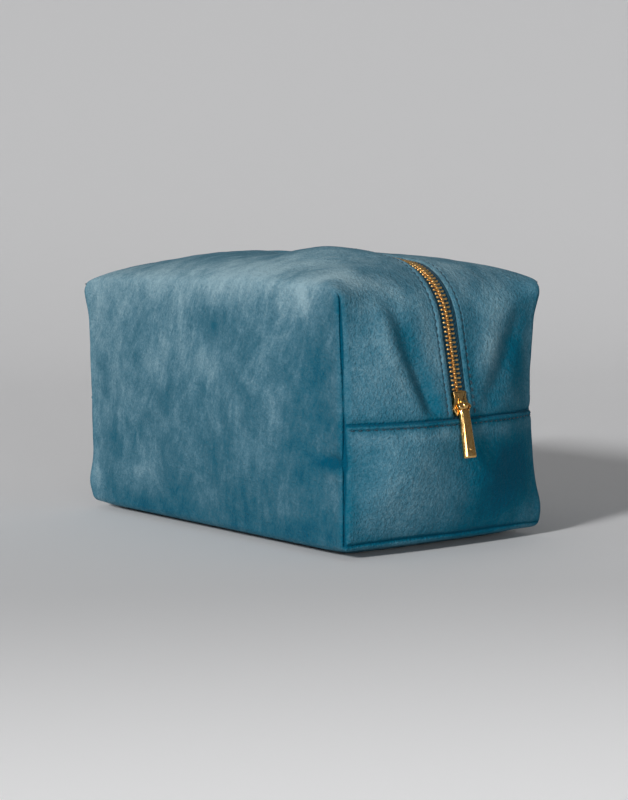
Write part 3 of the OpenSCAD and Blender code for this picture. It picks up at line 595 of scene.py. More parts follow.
def faux_suede():
    """Woven polyester with a raised, brushed nap: strokes of the brush lie light and dark, a fine
    fuzz grains it, and the fibres catch the light at grazing angles. The grain is drawn coarse, so it shows."""
    material, tree, where = new_material("brushed faux suede")
    # The nap layer holds the nap's own lay together with painted light and shade from the patches, folds, seams and
    # stitch rows
    nap_with_painted_light, brushed, on_top = (add(tree, "ShaderNodeAttribute", attribute_name=layer).outputs["Fac"]
                            for layer in ("nap", "brushed", "top"))
    # Blotches and fuzz: size in mm, detail, roughness and bend
    area, cloud, blotch, tufts, grain, fuzz = (
        add(tree, "ShaderNodeTexNoise", {"Vector": where, "Scale": per_metre(size), "Detail": detail,
                                         "Roughness": rough, "Distortion": bend}).outputs["Fac"]
        for size, detail, rough, bend in ((55, 1, 0.55, 0.0), (19, 4, 0.6, 0.4), (9, 3, 0.55, 0.0),
                                          (1.9, 2, 0.55, 0.0), (1.6, 2, 0.55, 0.0), (0.8, 1, 0.55, 0.0)))
    # Strokes of the brush and hairs: noise drawn out to a size in mm, then turned by degrees.
    # On the walls they slant or stand upright, and on the top they run lengthwise
    marks = []
    for size, turn in (((20, 12, 4.2), (0, -50, 0)), ((22, 12, 4.6), (0, -80, 0)), ((30, 7, 9), (0, 0, 30)),
                       ((9, 6, 1.3), (0, -58, 0)), ((9, 1.4, 5), (0, 0, 34))):
        drawn = add(tree, "ShaderNodeMapping", {
            "Vector": where, "Rotation": [math.radians(a) for a in turn], "Scale": [s * MM for s in size]},
            vector_type="TEXTURE").outputs[0]
        marks.append(add(tree, "ShaderNodeTexNoise", {
            "Vector": drawn, "Scale": 1.0, "Detail": 3.0, "Roughness": 0.6, "Distortion": 0.5}).outputs["Fac"])
    slanted, upright, lengthwise, wall_hairs, top_hairs = marks
    choose = add(tree, "ShaderNodeMapRange", {"Value": area, "From Min": 0.4, "From Max": 0.6}).outputs[0]
    wall_stroke = add(tree, "ShaderNodeMix", {0: choose, 2: slanted, 3: upright}).outputs[0]
    top_stroke = add(tree, "ShaderNodeMix", {0: 0.35, 2: lengthwise, 3: 0.5}).outputs[0]
    stroke = add(tree, "ShaderNodeMix", {0: on_top, 2: wall_stroke, 3: top_stroke}).outputs[0]
    hair = add(tree, "ShaderNodeMix", {0: on_top, 2: wall_hairs, 3: top_hairs}).outputs[0]
    # The ends are brushed less: the marks fade out there, and the colour stays deeper
    stroke, hair, cloud, saturation, value = (
        add(tree, "ShaderNodeMix", {0: brushed, 2: unbrushed, 3: fully}).outputs[0]
        for unbrushed, fully in ((0.5, stroke), (0.5, hair), (0.5, cloud), (1.13, 1.0), (1.07, 1.0)))
    tone = weighted(tree, (nap_with_painted_light, 1.0), (cloud, 0.6), (stroke, 0.41), (hair, 0.18), (blotch, 0.3), (grain, 0.3),
                    (fuzz, 0.16))
    colour = add(tree, "ShaderNodeValToRGB", {"Fac": tone}, stops=(
        (0.02, "#00485f"), (0.2, "#205669"), (0.35, "#345f70"), (0.5, "#496f7f"), (0.66, "#648491"),
        (0.9, "#86a1ab"))).outputs["Color"]
    colour = add(tree, "ShaderNodeHueSaturation", {
        "Saturation": saturation, "Value": value, "Color": colour}).outputs[0]
    height = weighted(tree, (tufts, 1.4), (grain, 0.8), (fuzz, 0.5), (hair, 0.5))
    bump = add(tree, "ShaderNodeBump", {"Height": height, "Strength": 0.9, "Distance": 0.65 * MM}).outputs[0]
    shader = add(tree, "ShaderNodeBsdfPrincipled", {
        "Base Color": colour, "Roughness": 0.95, "Specular IOR Level": 0.05, "Sheen Weight": 0.12,
        "Sheen Roughness": 0.5, "Sheen Tint": linear("#7fa6b6"), "Normal": bump}).outputs[0]
    add(tree, "ShaderNodeOutputMaterial", {"Surface": shader})
    return material


def zip_tape():
    """Dyed polyester twill tape: close diagonal ribs, drawn about 1 mm apart so that they show."""
    material, tree, where = new_material("woven polyester zip tape")
    turned = add(tree, "ShaderNodeMapping", {"Vector": where, "Rotation": (0.5, 0.3, 0.8)}).outputs[0]
    ribs = add(tree, "ShaderNodeTexWave", {
        "Vector": turned, "Scale": ribs_per_metre(1.0856), "Distortion": 1.5, "Detail": 1.0}).outputs["Fac"]
    colour = add(tree, "ShaderNodeValToRGB", {"Fac": ribs}, stops=((0.0, "#052a38"), (1.0, "#124a5d"))).outputs["Color"]
    bump = add(tree, "ShaderNodeBump", {"Height": ribs, "Strength": 0.5, "Distance": 0.1 * MM}).outputs[0]
    shader = add(tree, "ShaderNodeBsdfPrincipled", {
        "Base Color": colour, "Roughness": 0.8, "Specular IOR Level": 0.25, "Sheen Weight": 0.1,
        "Normal": bump}).outputs[0]
    add(tree, "ShaderNodeOutputMaterial", {"Surface": shader})
    return material


def lining_satin():
    """Plain-woven polyester lining: an even weave with a low gloss, drawn coarse so that it shows."""
    material, tree, where = new_material("woven polyester lining")
    warp, weft = (add(tree, "ShaderNodeTexWave", {"Vector": where, "Scale": ribs_per_metre(1.3817)},
                      bands_direction=way).outputs["Fac"] for way in "XZ")
    weave = weighted(tree, (warp, 0.5), (weft, 0.5))
    cloud = add(tree, "ShaderNodeTexNoise", {"Vector": where, "Scale": per_metre(30), "Detail": 3.0}).outputs["Fac"]
    tone = weighted(tree, (weave, 0.3), (cloud, 0.5))
    colour = add(tree, "ShaderNodeValToRGB", {"Fac": tone}, stops=((0.2, "#16303a"), (0.8, "#28505f"))).outputs["Color"]
    bump = add(tree, "ShaderNodeBump", {"Height": weave, "Strength": 0.3, "Distance": 0.08 * MM}).outputs[0]
    shader = add(tree, "ShaderNodeBsdfPrincipled", {
        "Base Color": colour, "Roughness": 0.45, "Specular IOR Level": 0.4, "Sheen Weight": 0.15,
        "Normal": bump}).outputs[0]
    add(tree, "ShaderNodeOutputMaterial", {"Surface": shader})
    return material


def sewing_thread():
    """Spun polyester thread: two plies twisted together, a shade darker than the suede."""
    material, tree, where = new_material("spun polyester thread")
    twist = add(tree, "ShaderNodeTexWave", {"Vector": where, "Scale": ribs_per_metre(0.78954), "Distortion": 2.0},
                bands_direction="DIAGONAL").outputs["Fac"]
    colour = add(tree, "ShaderNodeValToRGB", {"Fac": twist},
                 stops=((0.0, "#082a38"), (1.0, "#1b4454"))).outputs["Color"]
    shader = add(tree, "ShaderNodeBsdfPrincipled", {
        "Base Color": colour, "Roughness": 0.7, "Specular IOR Level": 0.3, "Sheen Weight": 0.2}).outputs[0]
    add(tree, "ShaderNodeOutputMaterial", {"Surface": shader})
    return material


def gold_metal(name, roughness):
    """Die-cast zinc alloy, polished and flash-plated in pale gold: a mirror with fine handling marks."""
    material, tree, where = new_material(name)
    marks = add(tree, "ShaderNodeTexNoise", {"Vector": where, "Scale": per_metre(1.6), "Detail": 4.0}).outputs["Fac"]
    colour = add(tree, "ShaderNodeValToRGB", {"Fac": marks},
                 stops=((0.3, "#dea75c"), (0.7, "#f2cb88"))).outputs["Color"]
    rough = add(tree, "ShaderNodeMapRange", {
        "Value": marks, "To Min": roughness * 0.7, "To Max": roughness * 1.5}).outputs[0]
    bump = add(tree, "ShaderNodeBump", {"Height": marks, "Strength": 0.12, "Distance": 0.05 * MM}).outputs[0]
    shader = add(tree, "ShaderNodeBsdfPrincipled", {
        "Base Color": colour, "Metallic": 1.0, "Roughness": rough, "Normal": bump}).outputs[0]
    add(tree, "ShaderNodeOutputMaterial", {"Surface": shader})
    return material


SUEDE, TAPE, LINING, THREAD = faux_suede(), zip_tape(), lining_satin(), sewing_thread()
POLISHED, TEETH_METAL = gold_metal("polished gold plate", 0.16), gold_metal("tumbled gold plate", 0.28)


def on_flap(piece):
    """Bakes a piece of one half of the mouth into place, in world coordinates."""
    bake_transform(piece)


# Where the nap lies light or dark, with painted light and shade among it: how much, the middle, and the half-widths
# along X, Y and Z
# Painted highlights on the roll of the front's top and on the top; painted shade towards the base, on the right of the
# near end, beside the zip and in the pinch
NAP_AND_PAINTED_LIGHT_PATCHES = (
    (0.34, (0, -64, 131), (150, 24, 12)), (0.18, (94, -64, 117), (13, 20, 11)), (0.1, (115, -64, 110), (7, 12, 7)),
    (0.1, (61, -66, 89), (8, 20, 7)), (0.09, (5, -66, 84), (12, 20, 9)), (0.09, (-83, -66, 85), (10, 20, 13)),
    (0.12, (-117, -66, 50), (9, 14, 46)), (0.14, (119, -66, 17), (8, 12, 11)), (0.09, (-10, -66, 39), (16, 20, 9)),
    (0.09, (-55, -66, 24), (14, 20, 9)), (0.06, (33, -66, 68), (14, 20, 8)), (-0.14, (112, -66, 62), (22, 24, 46)),
    (-0.15, (104, -66, 84), (12, 20, 24)), (-0.34, (114, -65, 41), (10, 12, 3.5)), (0.2, (118, -65, 34), (7, 10, 3)),
    (-0.22, (10, -64, 1), (150, 24, 11)), (-0.16, (20, -66, 30), (150, 24, 36)), (-0.09, (8, -66, 57), (12, 20, 9)),
    (-0.09, (-105, -66, 72), (10, 20, 15)), (-0.09, (-95, -66, 38), (13, 20, 11)), (-0.1, (118, -63, 112), (6, 9, 7)),
    (-0.07, (-30, -66, 62), (12, 20, 11)), (-0.3, (134, 44, 86), (20, 9, 17)), (-0.1, (137, 28, 70), (20, 10, 9)),
    (-0.1, (138, 14, 4), (20, 22, 14)), (-0.4, (138, 34, 24), (20, 28, 27)), (-0.12, (137, 8, 12), (20, 26, 16)),
    (0.02, (140, -38, 40), (20, 22, 16)), (-0.14, (128, -42, 126), (9, 9, 6)), (0.12, (131, -29, 127), (9, 6, 6)),
    (-0.08, (130, 50, 108), (14, 9, 14)), (-0.16, (94, -66, 80), (14, 20, 14)), (-0.12, (93, -66, 29), (14, 20, 12)),
    (-0.1, (100, -66, 4), (20, 20, 12)), (0.2, (-117, -66, 102), (16, 14, 16)), (0.2, (-120, -66, 13), (14, 14, 16)),
    (0.16, (-93, -66, 78), (14, 20, 14)), (0.1, (-63, -66, 51), (14, 20, 13)), (-0.1, (66, -66, 111), (18, 20, 12)),
    (-0.08, (56, -66, 37), (14, 20, 12)), (0.09, (-37, -66, 115), (18, 20, 10)), (-0.1, (121, -64, 123), (10, 12, 8)),
    (0.08, (-16, -66, 31), (12, 20, 10)), (0.18, (137, 26, 90), (20, 8, 14)), (-0.2, (138, 9, 84), (20, 5, 30)),
    (-0.22, (138, 17, 106), (20, 7, 10)), (0.16, (132, -34, 127), (14, 9, 9)), (0.16, (131, -28, 119), (10, 6, 10)),
    (0.12, (138, -12, 59), (20, 6, 9)), (0.14, (138, -14, 103), (20, 6, 14)), (0.08, (138, -29, 71), (20, 6, 12)),
    (-0.14, (138, 46, 45), (20, 14, 16)), (0.1, (136, -41, 13), (20, 14, 12)), (-0.13, (138, 9, 39), (20, 12, 12)),
    (0.2, (75, -42, 137), (26, 9, 20)), (0.26, (108, -50, 136), (20, 9, 16)), (0.12, (10, -42, 142), (30, 12, 12)),
    (-0.1, (70, -66, 2), (18, 20, 10)), (-0.1, (-53, -66, 2), (18, 20, 9)), (-0.1, (45, -64, 124), (14, 16, 8)),
    (0.1, (134, -56, 2), (14, 10, 10)), (0.1, (132, -57, 69), (14, 7, 12)), (0.06, (136, -44, 98), (20, 14, 24)),
    (0.1, (134, 38, 116), (20, 9, 9)), (0.08, (-92, -66, 60), (14, 20, 16)), (0.08, (60, 30, 140), (60, 22, 30)),
    (-0.28, (-138, -30, 30), (20, 26, 26)), (-0.2, (-134, -40, 86), (20, 10, 16)))


# A dark stroke across the front, and how much shade is painted in a fold of unit depth, in a seam and beside it
FRONT_STROKE, FOLD_PAINTED_SHADE, SEAM_PAINTED_SHADE, BESIDE_SEAM_PAINTED_SHADE = ((-10, -66, 111), (30, -66, 102), (68, -66, 90)), 0.085, 0.40, 0.08
# Where the brushing of the walls fades out towards the ends, and how much of it is lost there
BRUSH_FADES, BRUSH_ENDS, BRUSH_LOST = 117, 129, 0.75


def nap_and_painted_light_of(points, seam):
    """How the nap lies around 0.5, where hands and the brush have passed over it, with painted shade in folds and seams
    and a painted highlight on ridges.
    """
    nap_with_painted_light = 0.06 * ripples(points, (40, 52, 66, 85, 110), 31)
    # Painted shade in the folds' valleys, and a little painted highlight on their ridges
    for depth, line, width in FOLDS:
        nap_with_painted_light -= FOLD_PAINTED_SHADE * max(depth, -0.6) * crease(points, line, width * 1.45)
    for amount, middle, spread in NAP_AND_PAINTED_LIGHT_PATCHES:
        nap_with_painted_light += amount * mound(points, middle, spread)
    nap_with_painted_light -= 0.1 * crease(points, FRONT_STROKE, 9)
    # Painted shade in the groove of the stitch row below each end seam, and a painted highlight on the cloth that
    # stands out under it
    below = SEAM_H - STITCH_ROW - points[:, 2]
    swell, stitch_groove_shade = 0.1 * np.exp(-(((below - 5) / 3.5) ** 2)), 0.13 * np.exp(-((below / 0.9) ** 2))
    nap_with_painted_light += (swell - stitch_groove_shade) * (np.abs(points[:, 0]) > 127)
    # Painted shade in the seams and beside them
    return 0.5 + nap_with_painted_light - SEAM_PAINTED_SHADE * np.exp(-((seam / 0.8) ** 2)) - BESIDE_SEAM_PAINTED_SHADE * np.exp(-((seam / 4.5) ** 2))


def top_of(corners, faces, count):
    """How far each point belongs to the top, by the way it faces."""
    rise = np.zeros(count)
    rise[np.asarray(faces).ravel()] = corners[:, 2]
    return ease(0.25, 0.75, rise)


def brushed_of(points):
    """How plainly the brush strokes show: most on the two walls, least on the ends."""
    return 1 - BRUSH_LOST * ease(BRUSH_FADES, BRUSH_ENDS, np.abs(points[:, 0]))


skin = build_shell()
slacken(skin, 1)
labels = ["front", "back", "base", "near_end", "far_end"]
labels += [f"{end}_{wall}_corner" for end, _ in END_SIDES for wall, _ in WALL_SIDES]
labels += [f"{wall}_flap_{end}" for end, _ in END_SIDES for wall, _ in WALL_SIDES]
for label in labels:
    # A flap is cut into a near and a far half, which its cloth needs to bend to both sides
    node, half = label.rsplit("_", 1) if "flap" in label else (label, "")
    points, faces, corners, used = closed_sheet(
        skin.points, skin.quads[skin.labels == label], skin.normals, skin.thick)
    # The nap layer carries the nap's lay together with painted light and shade
    piece = make_piece(f"{node}_panel_{half}" if half else node + "_panel", points, faces, SUEDE, corners,
                       nap=nap_and_painted_light_of(points, np.tile(skin.seam[used], 2)), brushed=brushed_of(points),
                       top=top_of(corners, faces, len(points)))
    if half:
        on_flap(piece)
    else:
        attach(piece, "bag")
    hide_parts(node + "_cover", node + "_foam")

inside = build_shell(coarse=True)
slacken(inside, 0)
outward = inside.normals
inside.points = inside.points - outward * LINING_FROM
inside.relax(12)
skin_tree = BVHTree.FromPolygons(skin.points.tolist(), skin.quads.tolist())
PROBE = 12.0
for index, (point, normal) in enumerate(zip(inside.points, outward)):
    # Where the skin folds in, the lining gives way
    _, _, _, distance = skin_tree.ray_cast(Vector(point + PROBE * normal), Vector(-normal), 1.5 * PROBE)
    if distance:
        inside.points[index] -= normal * np.clip(distance - PROBE + LINING_FROM - COVER_T, 0, 4)
inside.turn()
in_flap = np.char.find(inside.labels.astype(str), "flap") >= 0
for label in ["bag"] + [f"{wall}_flap_{end}" for wall, _ in WALL_SIDES for end, _ in END_SIDES]:
    chosen = ~in_flap if label == "bag" else inside.labels == label
    points, faces, corners, _ = closed_sheet(inside.points, inside.quads[chosen], inside.normals, LINING_T)
    piece = make_piece(label + "_lining", points, faces, LINING, corners)
    if label == "bag":
        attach(piece, "bag")
        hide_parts(*[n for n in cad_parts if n.endswith("_lining") and "flap" not in n])
    else:
        node, half = label.rsplit("_", 1)
        on_flap(piece)
        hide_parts(node + "_lining")

# Zip tapes: strips under the lips, each with a corded inner edge
ZIP_PARTS = {"near": (0, TURN_END_S), "top_near": (TURN_END_S, MIDDLE_S),
             "top_far": (MIDDLE_S, 2 * MIDDLE_S - TURN_END_S), "far": (2 * MIDDLE_S - TURN_END_S, 2 * MIDDLE_S)}
TAPE_Y = np.array([TAPE_IN_Y, 1.35, 1.6, 1.85, 2.1, 2.6, 3.2, 4.0, 5.0, 6.5, 9.0, TAPE_OUT_Y])
CORD_H, CORD_Y, CORD_W = 0.35, 1.6, 0.32
CORD = CORD_H * np.exp(-(((TAPE_Y - CORD_Y) / CORD_W) ** 2))


def zip_body(piece, part):
    """Sets a part of the zip on its body: the ends are attached to the bag, and the top is baked in place."""
    if part.startswith("top"):
        on_flap(piece)
    else:
        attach(piece, "bag")


for part, (first, last) in ZIP_PARTS.items():
    for wall, y_side in WALL_SIDES:
        s = np.linspace(first, last, max(2, int((last - first) / 1.6)))
        point, out, _ = zip_frame(s, TAPE_TOP)
        grid = point[:, None] + CORD[None, :, None] * out[:, None] + np.array([0, y_side, 0]) * TAPE_Y[None, :, None]
        grid[..., 2] += heave(grid)
        n, m = grid.shape[:2]
        quads = grid_quads(n, m)[:, ::-y_side]
        points, faces, _, _ = closed_sheet(grid.reshape(-1, 3), quads, np.repeat(out, m, axis=0), TAPE_T)
        node = f"{wall}_top_tape" if part.startswith("top") else f"{part}_{wall}_tape"
        piece = make_piece(f"{part}_{wall}_zip_tape", points, faces, TAPE)
        zip_body(piece, part)
        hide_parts(node)


# Teeth and stitches: copies of one small shape along their rows
def rows_tree():
    """Copies of a shape at points, stood on each point's own directions, with the shape's three sizes as inputs."""
    tree = bpy.data.node_groups.new("copies along a row", "GeometryNodeTree")
    for name, kind in (("Points", "Geometry"), ("Shape", "Object"), ("Height", "Float"), ("Width", "Float"),
                       ("Length", "Float"), ("Finish", "Material")):
        tree.interface.new_socket(name, in_out="INPUT", socket_type="NodeSocket" + kind)
    tree.interface.new_socket("Copies", in_out="OUTPUT", socket_type="NodeSocketGeometry")
    given = add(tree, "NodeGroupInput").outputs
    shape = add(tree, "GeometryNodeObjectInfo", {"Object": given["Shape"]}).outputs["Geometry"]
    out, along = (add(tree, "GeometryNodeInputNamedAttribute", {"Name": direction},
                      data_type="FLOAT_VECTOR").outputs["Attribute"] for direction in ("out", "along"))
    turn = add(tree, "FunctionNodeAxesToRotation", {"Primary Axis": out, "Secondary Axis": along},
               primary_axis="X", secondary_axis="Z").outputs[0]
    size = add(tree, "ShaderNodeCombineXYZ", {
        "X": given["Height"], "Y": given["Width"], "Z": given["Length"]}).outputs[0]
    copies = add(tree, "GeometryNodeInstanceOnPoints", {
        "Points": given["Points"], "Instance": shape, "Rotation": turn, "Scale": size}).outputs[0]
    real = add(tree, "GeometryNodeRealizeInstances", {"Geometry": copies}).outputs[0]
    done = add(tree, "GeometryNodeSetMaterial", {"Geometry": real, "Material": given["Finish"]}).outputs[0]
    add(tree, "NodeGroupOutput", {"Copies": done})
    return tree


ROWS = rows_tree()


def row_of(name, shape, points, out, along, sizes, finish):
    """One plain mesh of copies of a shape, in a new object."""
    mesh = bpy.data.meshes.new(name + "_row")
    mesh.from_pydata((points * MM).tolist(), [], [])
    for layer, values in (("out", out), ("along", along)):
        mesh.attributes.new(layer, "FLOAT_VECTOR", "POINT").data.foreach_set(
            "vector", np.ascontiguousarray(values, np.float32).ravel())
    holder = bpy.data.objects.new(name + "_row", mesh)
    bpy.context.scene.collection.objects.link(holder)
    rows = holder.modifiers.new("rows", "NODES")
    rows.node_group = ROWS
    height, width, length = (size * MM for size in sizes)
    values = {"Shape": shape, "Height": height, "Width": width, "Length": length, "Finish": finish}
    for socket in ROWS.interface.items_tree:
        if socket.name in values:
            rows[socket.identifier] = values[socket.name]
    seen = holder.evaluated_get(bpy.context.evaluated_depsgraph_get())
    made = bpy.data.meshes.new_from_object(seen)
    made.name = name
    made.polygons.foreach_set("use_smooth", np.ones(len(made.polygons), bool))
    bpy.data.objects.remove(holder)
    piece = bpy.data.objects.new(name, made)
    bpy.context.scene.collection.objects.link(piece)
    return piece


def lofted(rings):
    """Points and faces of a closed shape through rings of points."""
    rings = np.asarray(rings, float)
    n, m = rings.shape[:2]
    faces = [[i * m + j, i * m + (j + 1) % m, (i + 1) * m + (j + 1) % m, (i + 1) * m + j]
             for i in range(n - 1) for j in range(m)]
    return rings.reshape(-1, 3), faces + [list(range(m))[::-1], [(n - 1) * m + j for j in range(m)]]


def template(name, rings):
    """A shape to copy, in sizes that each row multiplies."""
    points, faces = lofted(rings)
    return make_piece(name, points / MM, faces, POLISHED)


# A tooth lies across the tape's edge: rounded legs, a neck, and a head that passes the centre line
TOOTH_BLUNT, TOOTH_HALF, TOOTH_TILT = 0.7, 0.53, 0.02
ring = np.radians(np.arange(0, 360, 45) + 22.5)
rounded = np.stack([np.sign(side) * np.abs(side) ** TOOTH_BLUNT * TOOTH_HALF
                    for side in (np.cos(ring), np.sin(ring))], -1)
TOOTH_SHAPE = template("tooth_shape", [
    [[h * a, y, w * b] for a, b in rounded]
    for y, h, w in ((-3.2, 0.35, 0.35), (-3.05, 0.75, 0.8), (-2.65, 1.0, 1.12), (-2.15, 0.95, 1.06), (-1.75, 0.78, 0.9),
                    (-1.05, 0.76, 0.86), (-0.5, 0.9, 0.96), (0.1, 1.0, 1.0), (0.52, 0.86, 0.88), (0.78, 0.4, 0.4))])
# A stitch: a short bow of thread whose ends go down into the cloth
hexagon = np.radians(np.arange(0, 360, 60))
STITCH_SHAPE = template("stitch_shape", [
    [[0.5 * r * math.cos(a) + sag, 0.5 * r * math.sin(a), z] for a in hexagon]
    for z, r, sag in ((-0.5, 0.5, -0.75), (-0.4, 0.85, -0.3), (-0.2, 1.0, 0.0), (0.0, 1.0, 0.08), (0.2, 1.0, 0.0),
                      (0.4, 0.85, -0.3), (0.5, 0.5, -0.75))])

first_tooth = SLIDER_S + SLIDER_GAP
TOOTH_RUNS = {"near": (first_tooth, TURN_END_S), "top": (TURN_END_S, 2 * MIDDLE_S - TURN_END_S),
              "far": (2 * MIDDLE_S - TURN_END_S, 2 * MIDDLE_S - FAR_STOP_S - STOP_L)}
for run, (first, last) in TOOTH_RUNS.items():
    count = round((last - first) / TOOTH_PITCH)
    for wall, y_side, phase in (("front", -1, 0.25), ("back", 1, 0.75)):
        s_all = lerp(first, last, (np.arange(count) + phase) / count)
        for part in ("top_near", "top_far") if run == "top" else (run,):
            low, high = ZIP_PARTS[part]
            s = s_all[(s_all >= low) & (s_all < high)]
            point, out, along = zip_frame(s)
            rng = np.random.default_rng(len(s) + (5 if y_side > 0 else 0))
            along = along * -y_side + TOOTH_TILT * rng.normal(size=along.shape)
            point[:, 2] += heave(point)
            piece = row_of(f"{part}_{wall}_zip_teeth", TOOTH_SHAPE, point, out, along,
                           (TOOTH_H, 1.0, TOOTH_T), TEETH_METAL)
            zip_body(piece, part)
            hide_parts(f"{part.split('_')[0]}_{wall}_teeth" if run != "top" else f"{wall}_top_teeth")

# Stitch rows beside the zip, and below both end seams
STITCH_FROM, DROP = 3.2, 8.0


def on_skin(points, directions):
    """Points dropped on to the finished skin along the given directions."""
    landed = []
    for p, d in zip(points, directions):
        hit, _, _, _ = skin_tree.ray_cast(Vector(p - d * DROP), Vector(d))
        landed.append(hit if hit else p)
    return np.array(landed)


for part, (first, last) in ZIP_PARTS.items():
    first, last = max(first, STITCH_FROM), min(last, 2 * MIDDLE_S - STITCH_FROM)
    for wall, y_side in WALL_SIDES:
        s = np.arange(math.ceil(first / STITCH_PITCH) * STITCH_PITCH, last, STITCH_PITCH)
        point, out, along = zip_frame(s, 0)
        point[:, 1] = y_side * (SLOT_Y + STITCH_ROW)
        point[:, 2] += heave(point)
        landed = on_skin(point, -out)
        piece = row_of(f"{part}_{wall}_zip_stitches", STITCH_SHAPE, landed + STITCH_LIFT * out, out, along,
                       (STITCH_T, STITCH_T, STITCH_L), THREAD)
        zip_body(piece, part)
for end, x_side in END_SIDES:
    y = np.arange(-FOLD_Y, FOLD_Y + 0.1, STITCH_PITCH)
    z = np.full_like(y, SEAM_H - STITCH_ROW)
    point = np.stack([x_side * (HALF_L + END_BULGE * fullness(y / HALF_W, END_DRAW)), y, z], -1)
    landed = on_skin(point, np.tile([-x_side, 0.0, 0.0], (len(y), 1)))
    out = np.stack([np.full_like(y, x_side), 0.5 * y / HALF_W, 0 * y], -1)
    out /= np.linalg.norm(out, axis=1)[:, None]
    piece = row_of(f"{end}_seam_stitches", STITCH_SHAPE, landed + STITCH_LIFT * out, out, np.gradient(landed, axis=0),
                   (STITCH_T, STITCH_T, STITCH_L), THREAD)
    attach(piece, "bag")
for shape in (TOOTH_SHAPE, STITCH_SHAPE):
    bpy.data.objects.remove(shape)


# Slider, pull and stops, in the zip's own frame: X out of the bag, Y across, Z along the zip
def on_zip(points, s, mirrored=1):
    """Points of the zip's own frame at a place on the near end, or mirrored to the far end."""
    point, out, along = (v[0] for v in zip_frame([s]))
    points = np.asarray(points, float)
    placed = point + points[:, :1] * out + points[:, 1:2] * np.array([0, 1.0, 0]) + points[:, 2:] * along
    return placed * np.array([mirrored, 1, 1])


def metal_piece(name, shape, s, body, node, finish=POLISHED, mirrored=1):
    """A small metal piece at its place on the zip, with its faces turned outwards and its edges crisp."""
    points, faces = shape
    piece = make_piece(name, on_zip(points, s, mirrored), [face[::mirrored] for face in faces], finish)
    work = bmesh.new()
    work.from_mesh(piece.data)
    bmesh.ops.recalc_face_normals(work, faces=work.faces)
    work.to_mesh(piece.data)
    work.free()
    piece.data.set_sharp_from_angle(angle=math.radians(38))
    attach(piece, body)
    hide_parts(node)


def merged(parts):
    """Several shapes as one list of points and faces."""
    points, faces, count = [], [], 0
    for p, f in parts:
        points.append(np.asarray(p, float))
        faces += [[i + count for i in face] for face in f]
        count += len(p)
    return np.concatenate(points), faces


def slab(outline, levels):
    """A closed slab from an outline [y, z]: each level is (x, how far the outline is drawn in)."""
    outline = np.asarray(outline, float)
    edge = np.roll(outline, -1, axis=0) - np.roll(outline, 1, axis=0)
    inward = np.stack([-edge[:, 1], edge[:, 0]], -1)
    inward /= np.linalg.norm(inward, axis=1)[:, None]
    rings = [np.column_stack([np.full(len(outline), x), outline + inset * inward]) for x, inset in levels]
    return lofted(rings)


def smooth_outline(right):
    """A closed outline, counter-clockwise seen from outside, through the points of its right half, rounded."""
    right = np.asarray(right, float)
    whole = np.concatenate([right, (right * [-1, 1])[::-1]])
    for _ in range(2):
        following = np.roll(whole, -1, axis=0)
        whole = np.stack([0.75 * whole + 0.25 * following, 0.25 * whole + 0.75 * following], 1).reshape(-1, 2)
    return whole


CHANNEL = TOOTH_H / 2 + SLIDER_GAP
PLATE_TOP = CHANNEL + PLATE_T
AXIS_OUT = PLATE_TOP + PULL_GAP + PULL_T / 2
SLIDER_END = SLIDER_L / 2
# Right half of the plates' outline, from one end of the slider to the other, and the bevels of their edges
PLATE_RIGHT = [[2.9, -SLIDER_END], [3.6, -SLIDER_END + 0.3], [4.35, -4.6], [5.25, -2.9], [5.2, -1.6], [4.3, 0.6],
               [3.75, 2.6], [3.85, 4.3], [4.15, SLIDER_END - 0.7], [4.0, SLIDER_END]]
BEVELS = [(CHANNEL, 0.12), (CHANNEL + 0.12, 0.0), (PLATE_TOP - 0.38, 0.0), (PLATE_TOP - 0.15, 0.1), (PLATE_TOP, 0.38),
          (PLATE_TOP + 0.1, 0.75)]
POST_RIGHT = [[0.35, -SLIDER_END + 0.1], [POST_W / 2, -SLIDER_END + 0.9], [POST_W / 2, -SLIDER_END + 2.4],
              [0.3, -SLIDER_END + 3.4]]
RIM_FROM, RIM_OVERLAP = 0.45, 0.1


def rim(y_side, low, high):
    """The flange along one side of a plate, which keeps the chain in the channel."""
    side = [p for p in PLATE_RIGHT if abs(p[1]) < SLIDER_END]
    strip = [[[x, y_side * (y - off), z] for x, off in ((low, 0.08), (high, 0.0), (high, RIM_T), (low, RIM_T - 0.05))]
             for y, z in side]
    points, faces = lofted(strip)
    return points, faces if y_side * (high - low) > 0 else [face[::-1] for face in faces]


plate = smooth_outline(PLATE_RIGHT)
upper = slab(plate, BEVELS)
lower = slab(plate, [(-x, inset) for x, inset in BEVELS])
lower = (lower[0], [face[::-1] for face in lower[1]])
post = slab(smooth_outline(POST_RIGHT), [(-CHANNEL, 0), (CHANNEL, 0)])
flanges = [rim(y_side, face * RIM_FROM, face * (CHANNEL + RIM_OVERLAP)) for y_side in (1, -1) for face in (1, -1)]
metal_piece("slider_body_cast", merged([upper, lower, post, *flanges]), SLIDER_S, "slider", "slider_body")

# Crown on the upper plate: a ramp from the rear that swells into the lug round the crossbar's bore.
# Across it: how far from the middle, and how far the outline is drawn in
CROWN_LEVELS = ((-1.6, 0.5), (-1.35, 0.16), (-0.9, 0.0), (0.9, 0.0), (1.35, 0.16), (1.6, 0.5))
BORE_R = CROSSBAR_D / 2 + 0.2


def crown_ring(y, shrink):
    """Side view of the crown at one distance from the middle, as a ring of points."""
    lug_r = LUG_R - shrink
    ring = [[PLATE_TOP, -LUG_DROP - LUG_R + shrink]]
    ring += [[AXIS_OUT + lug_r * math.cos(a), -LUG_DROP + lug_r * math.sin(a)]
             for a in np.radians(np.arange(-75, 76, 15))]
    ring += [[PLATE_TOP + 0.75 - shrink, 2.0], [PLATE_TOP + 0.55 - shrink, SLIDER_END - 1.6],
             [PLATE_TOP, SLIDER_END - 1.0 - shrink]]
    return [[x, y, z] for x, z in ring]


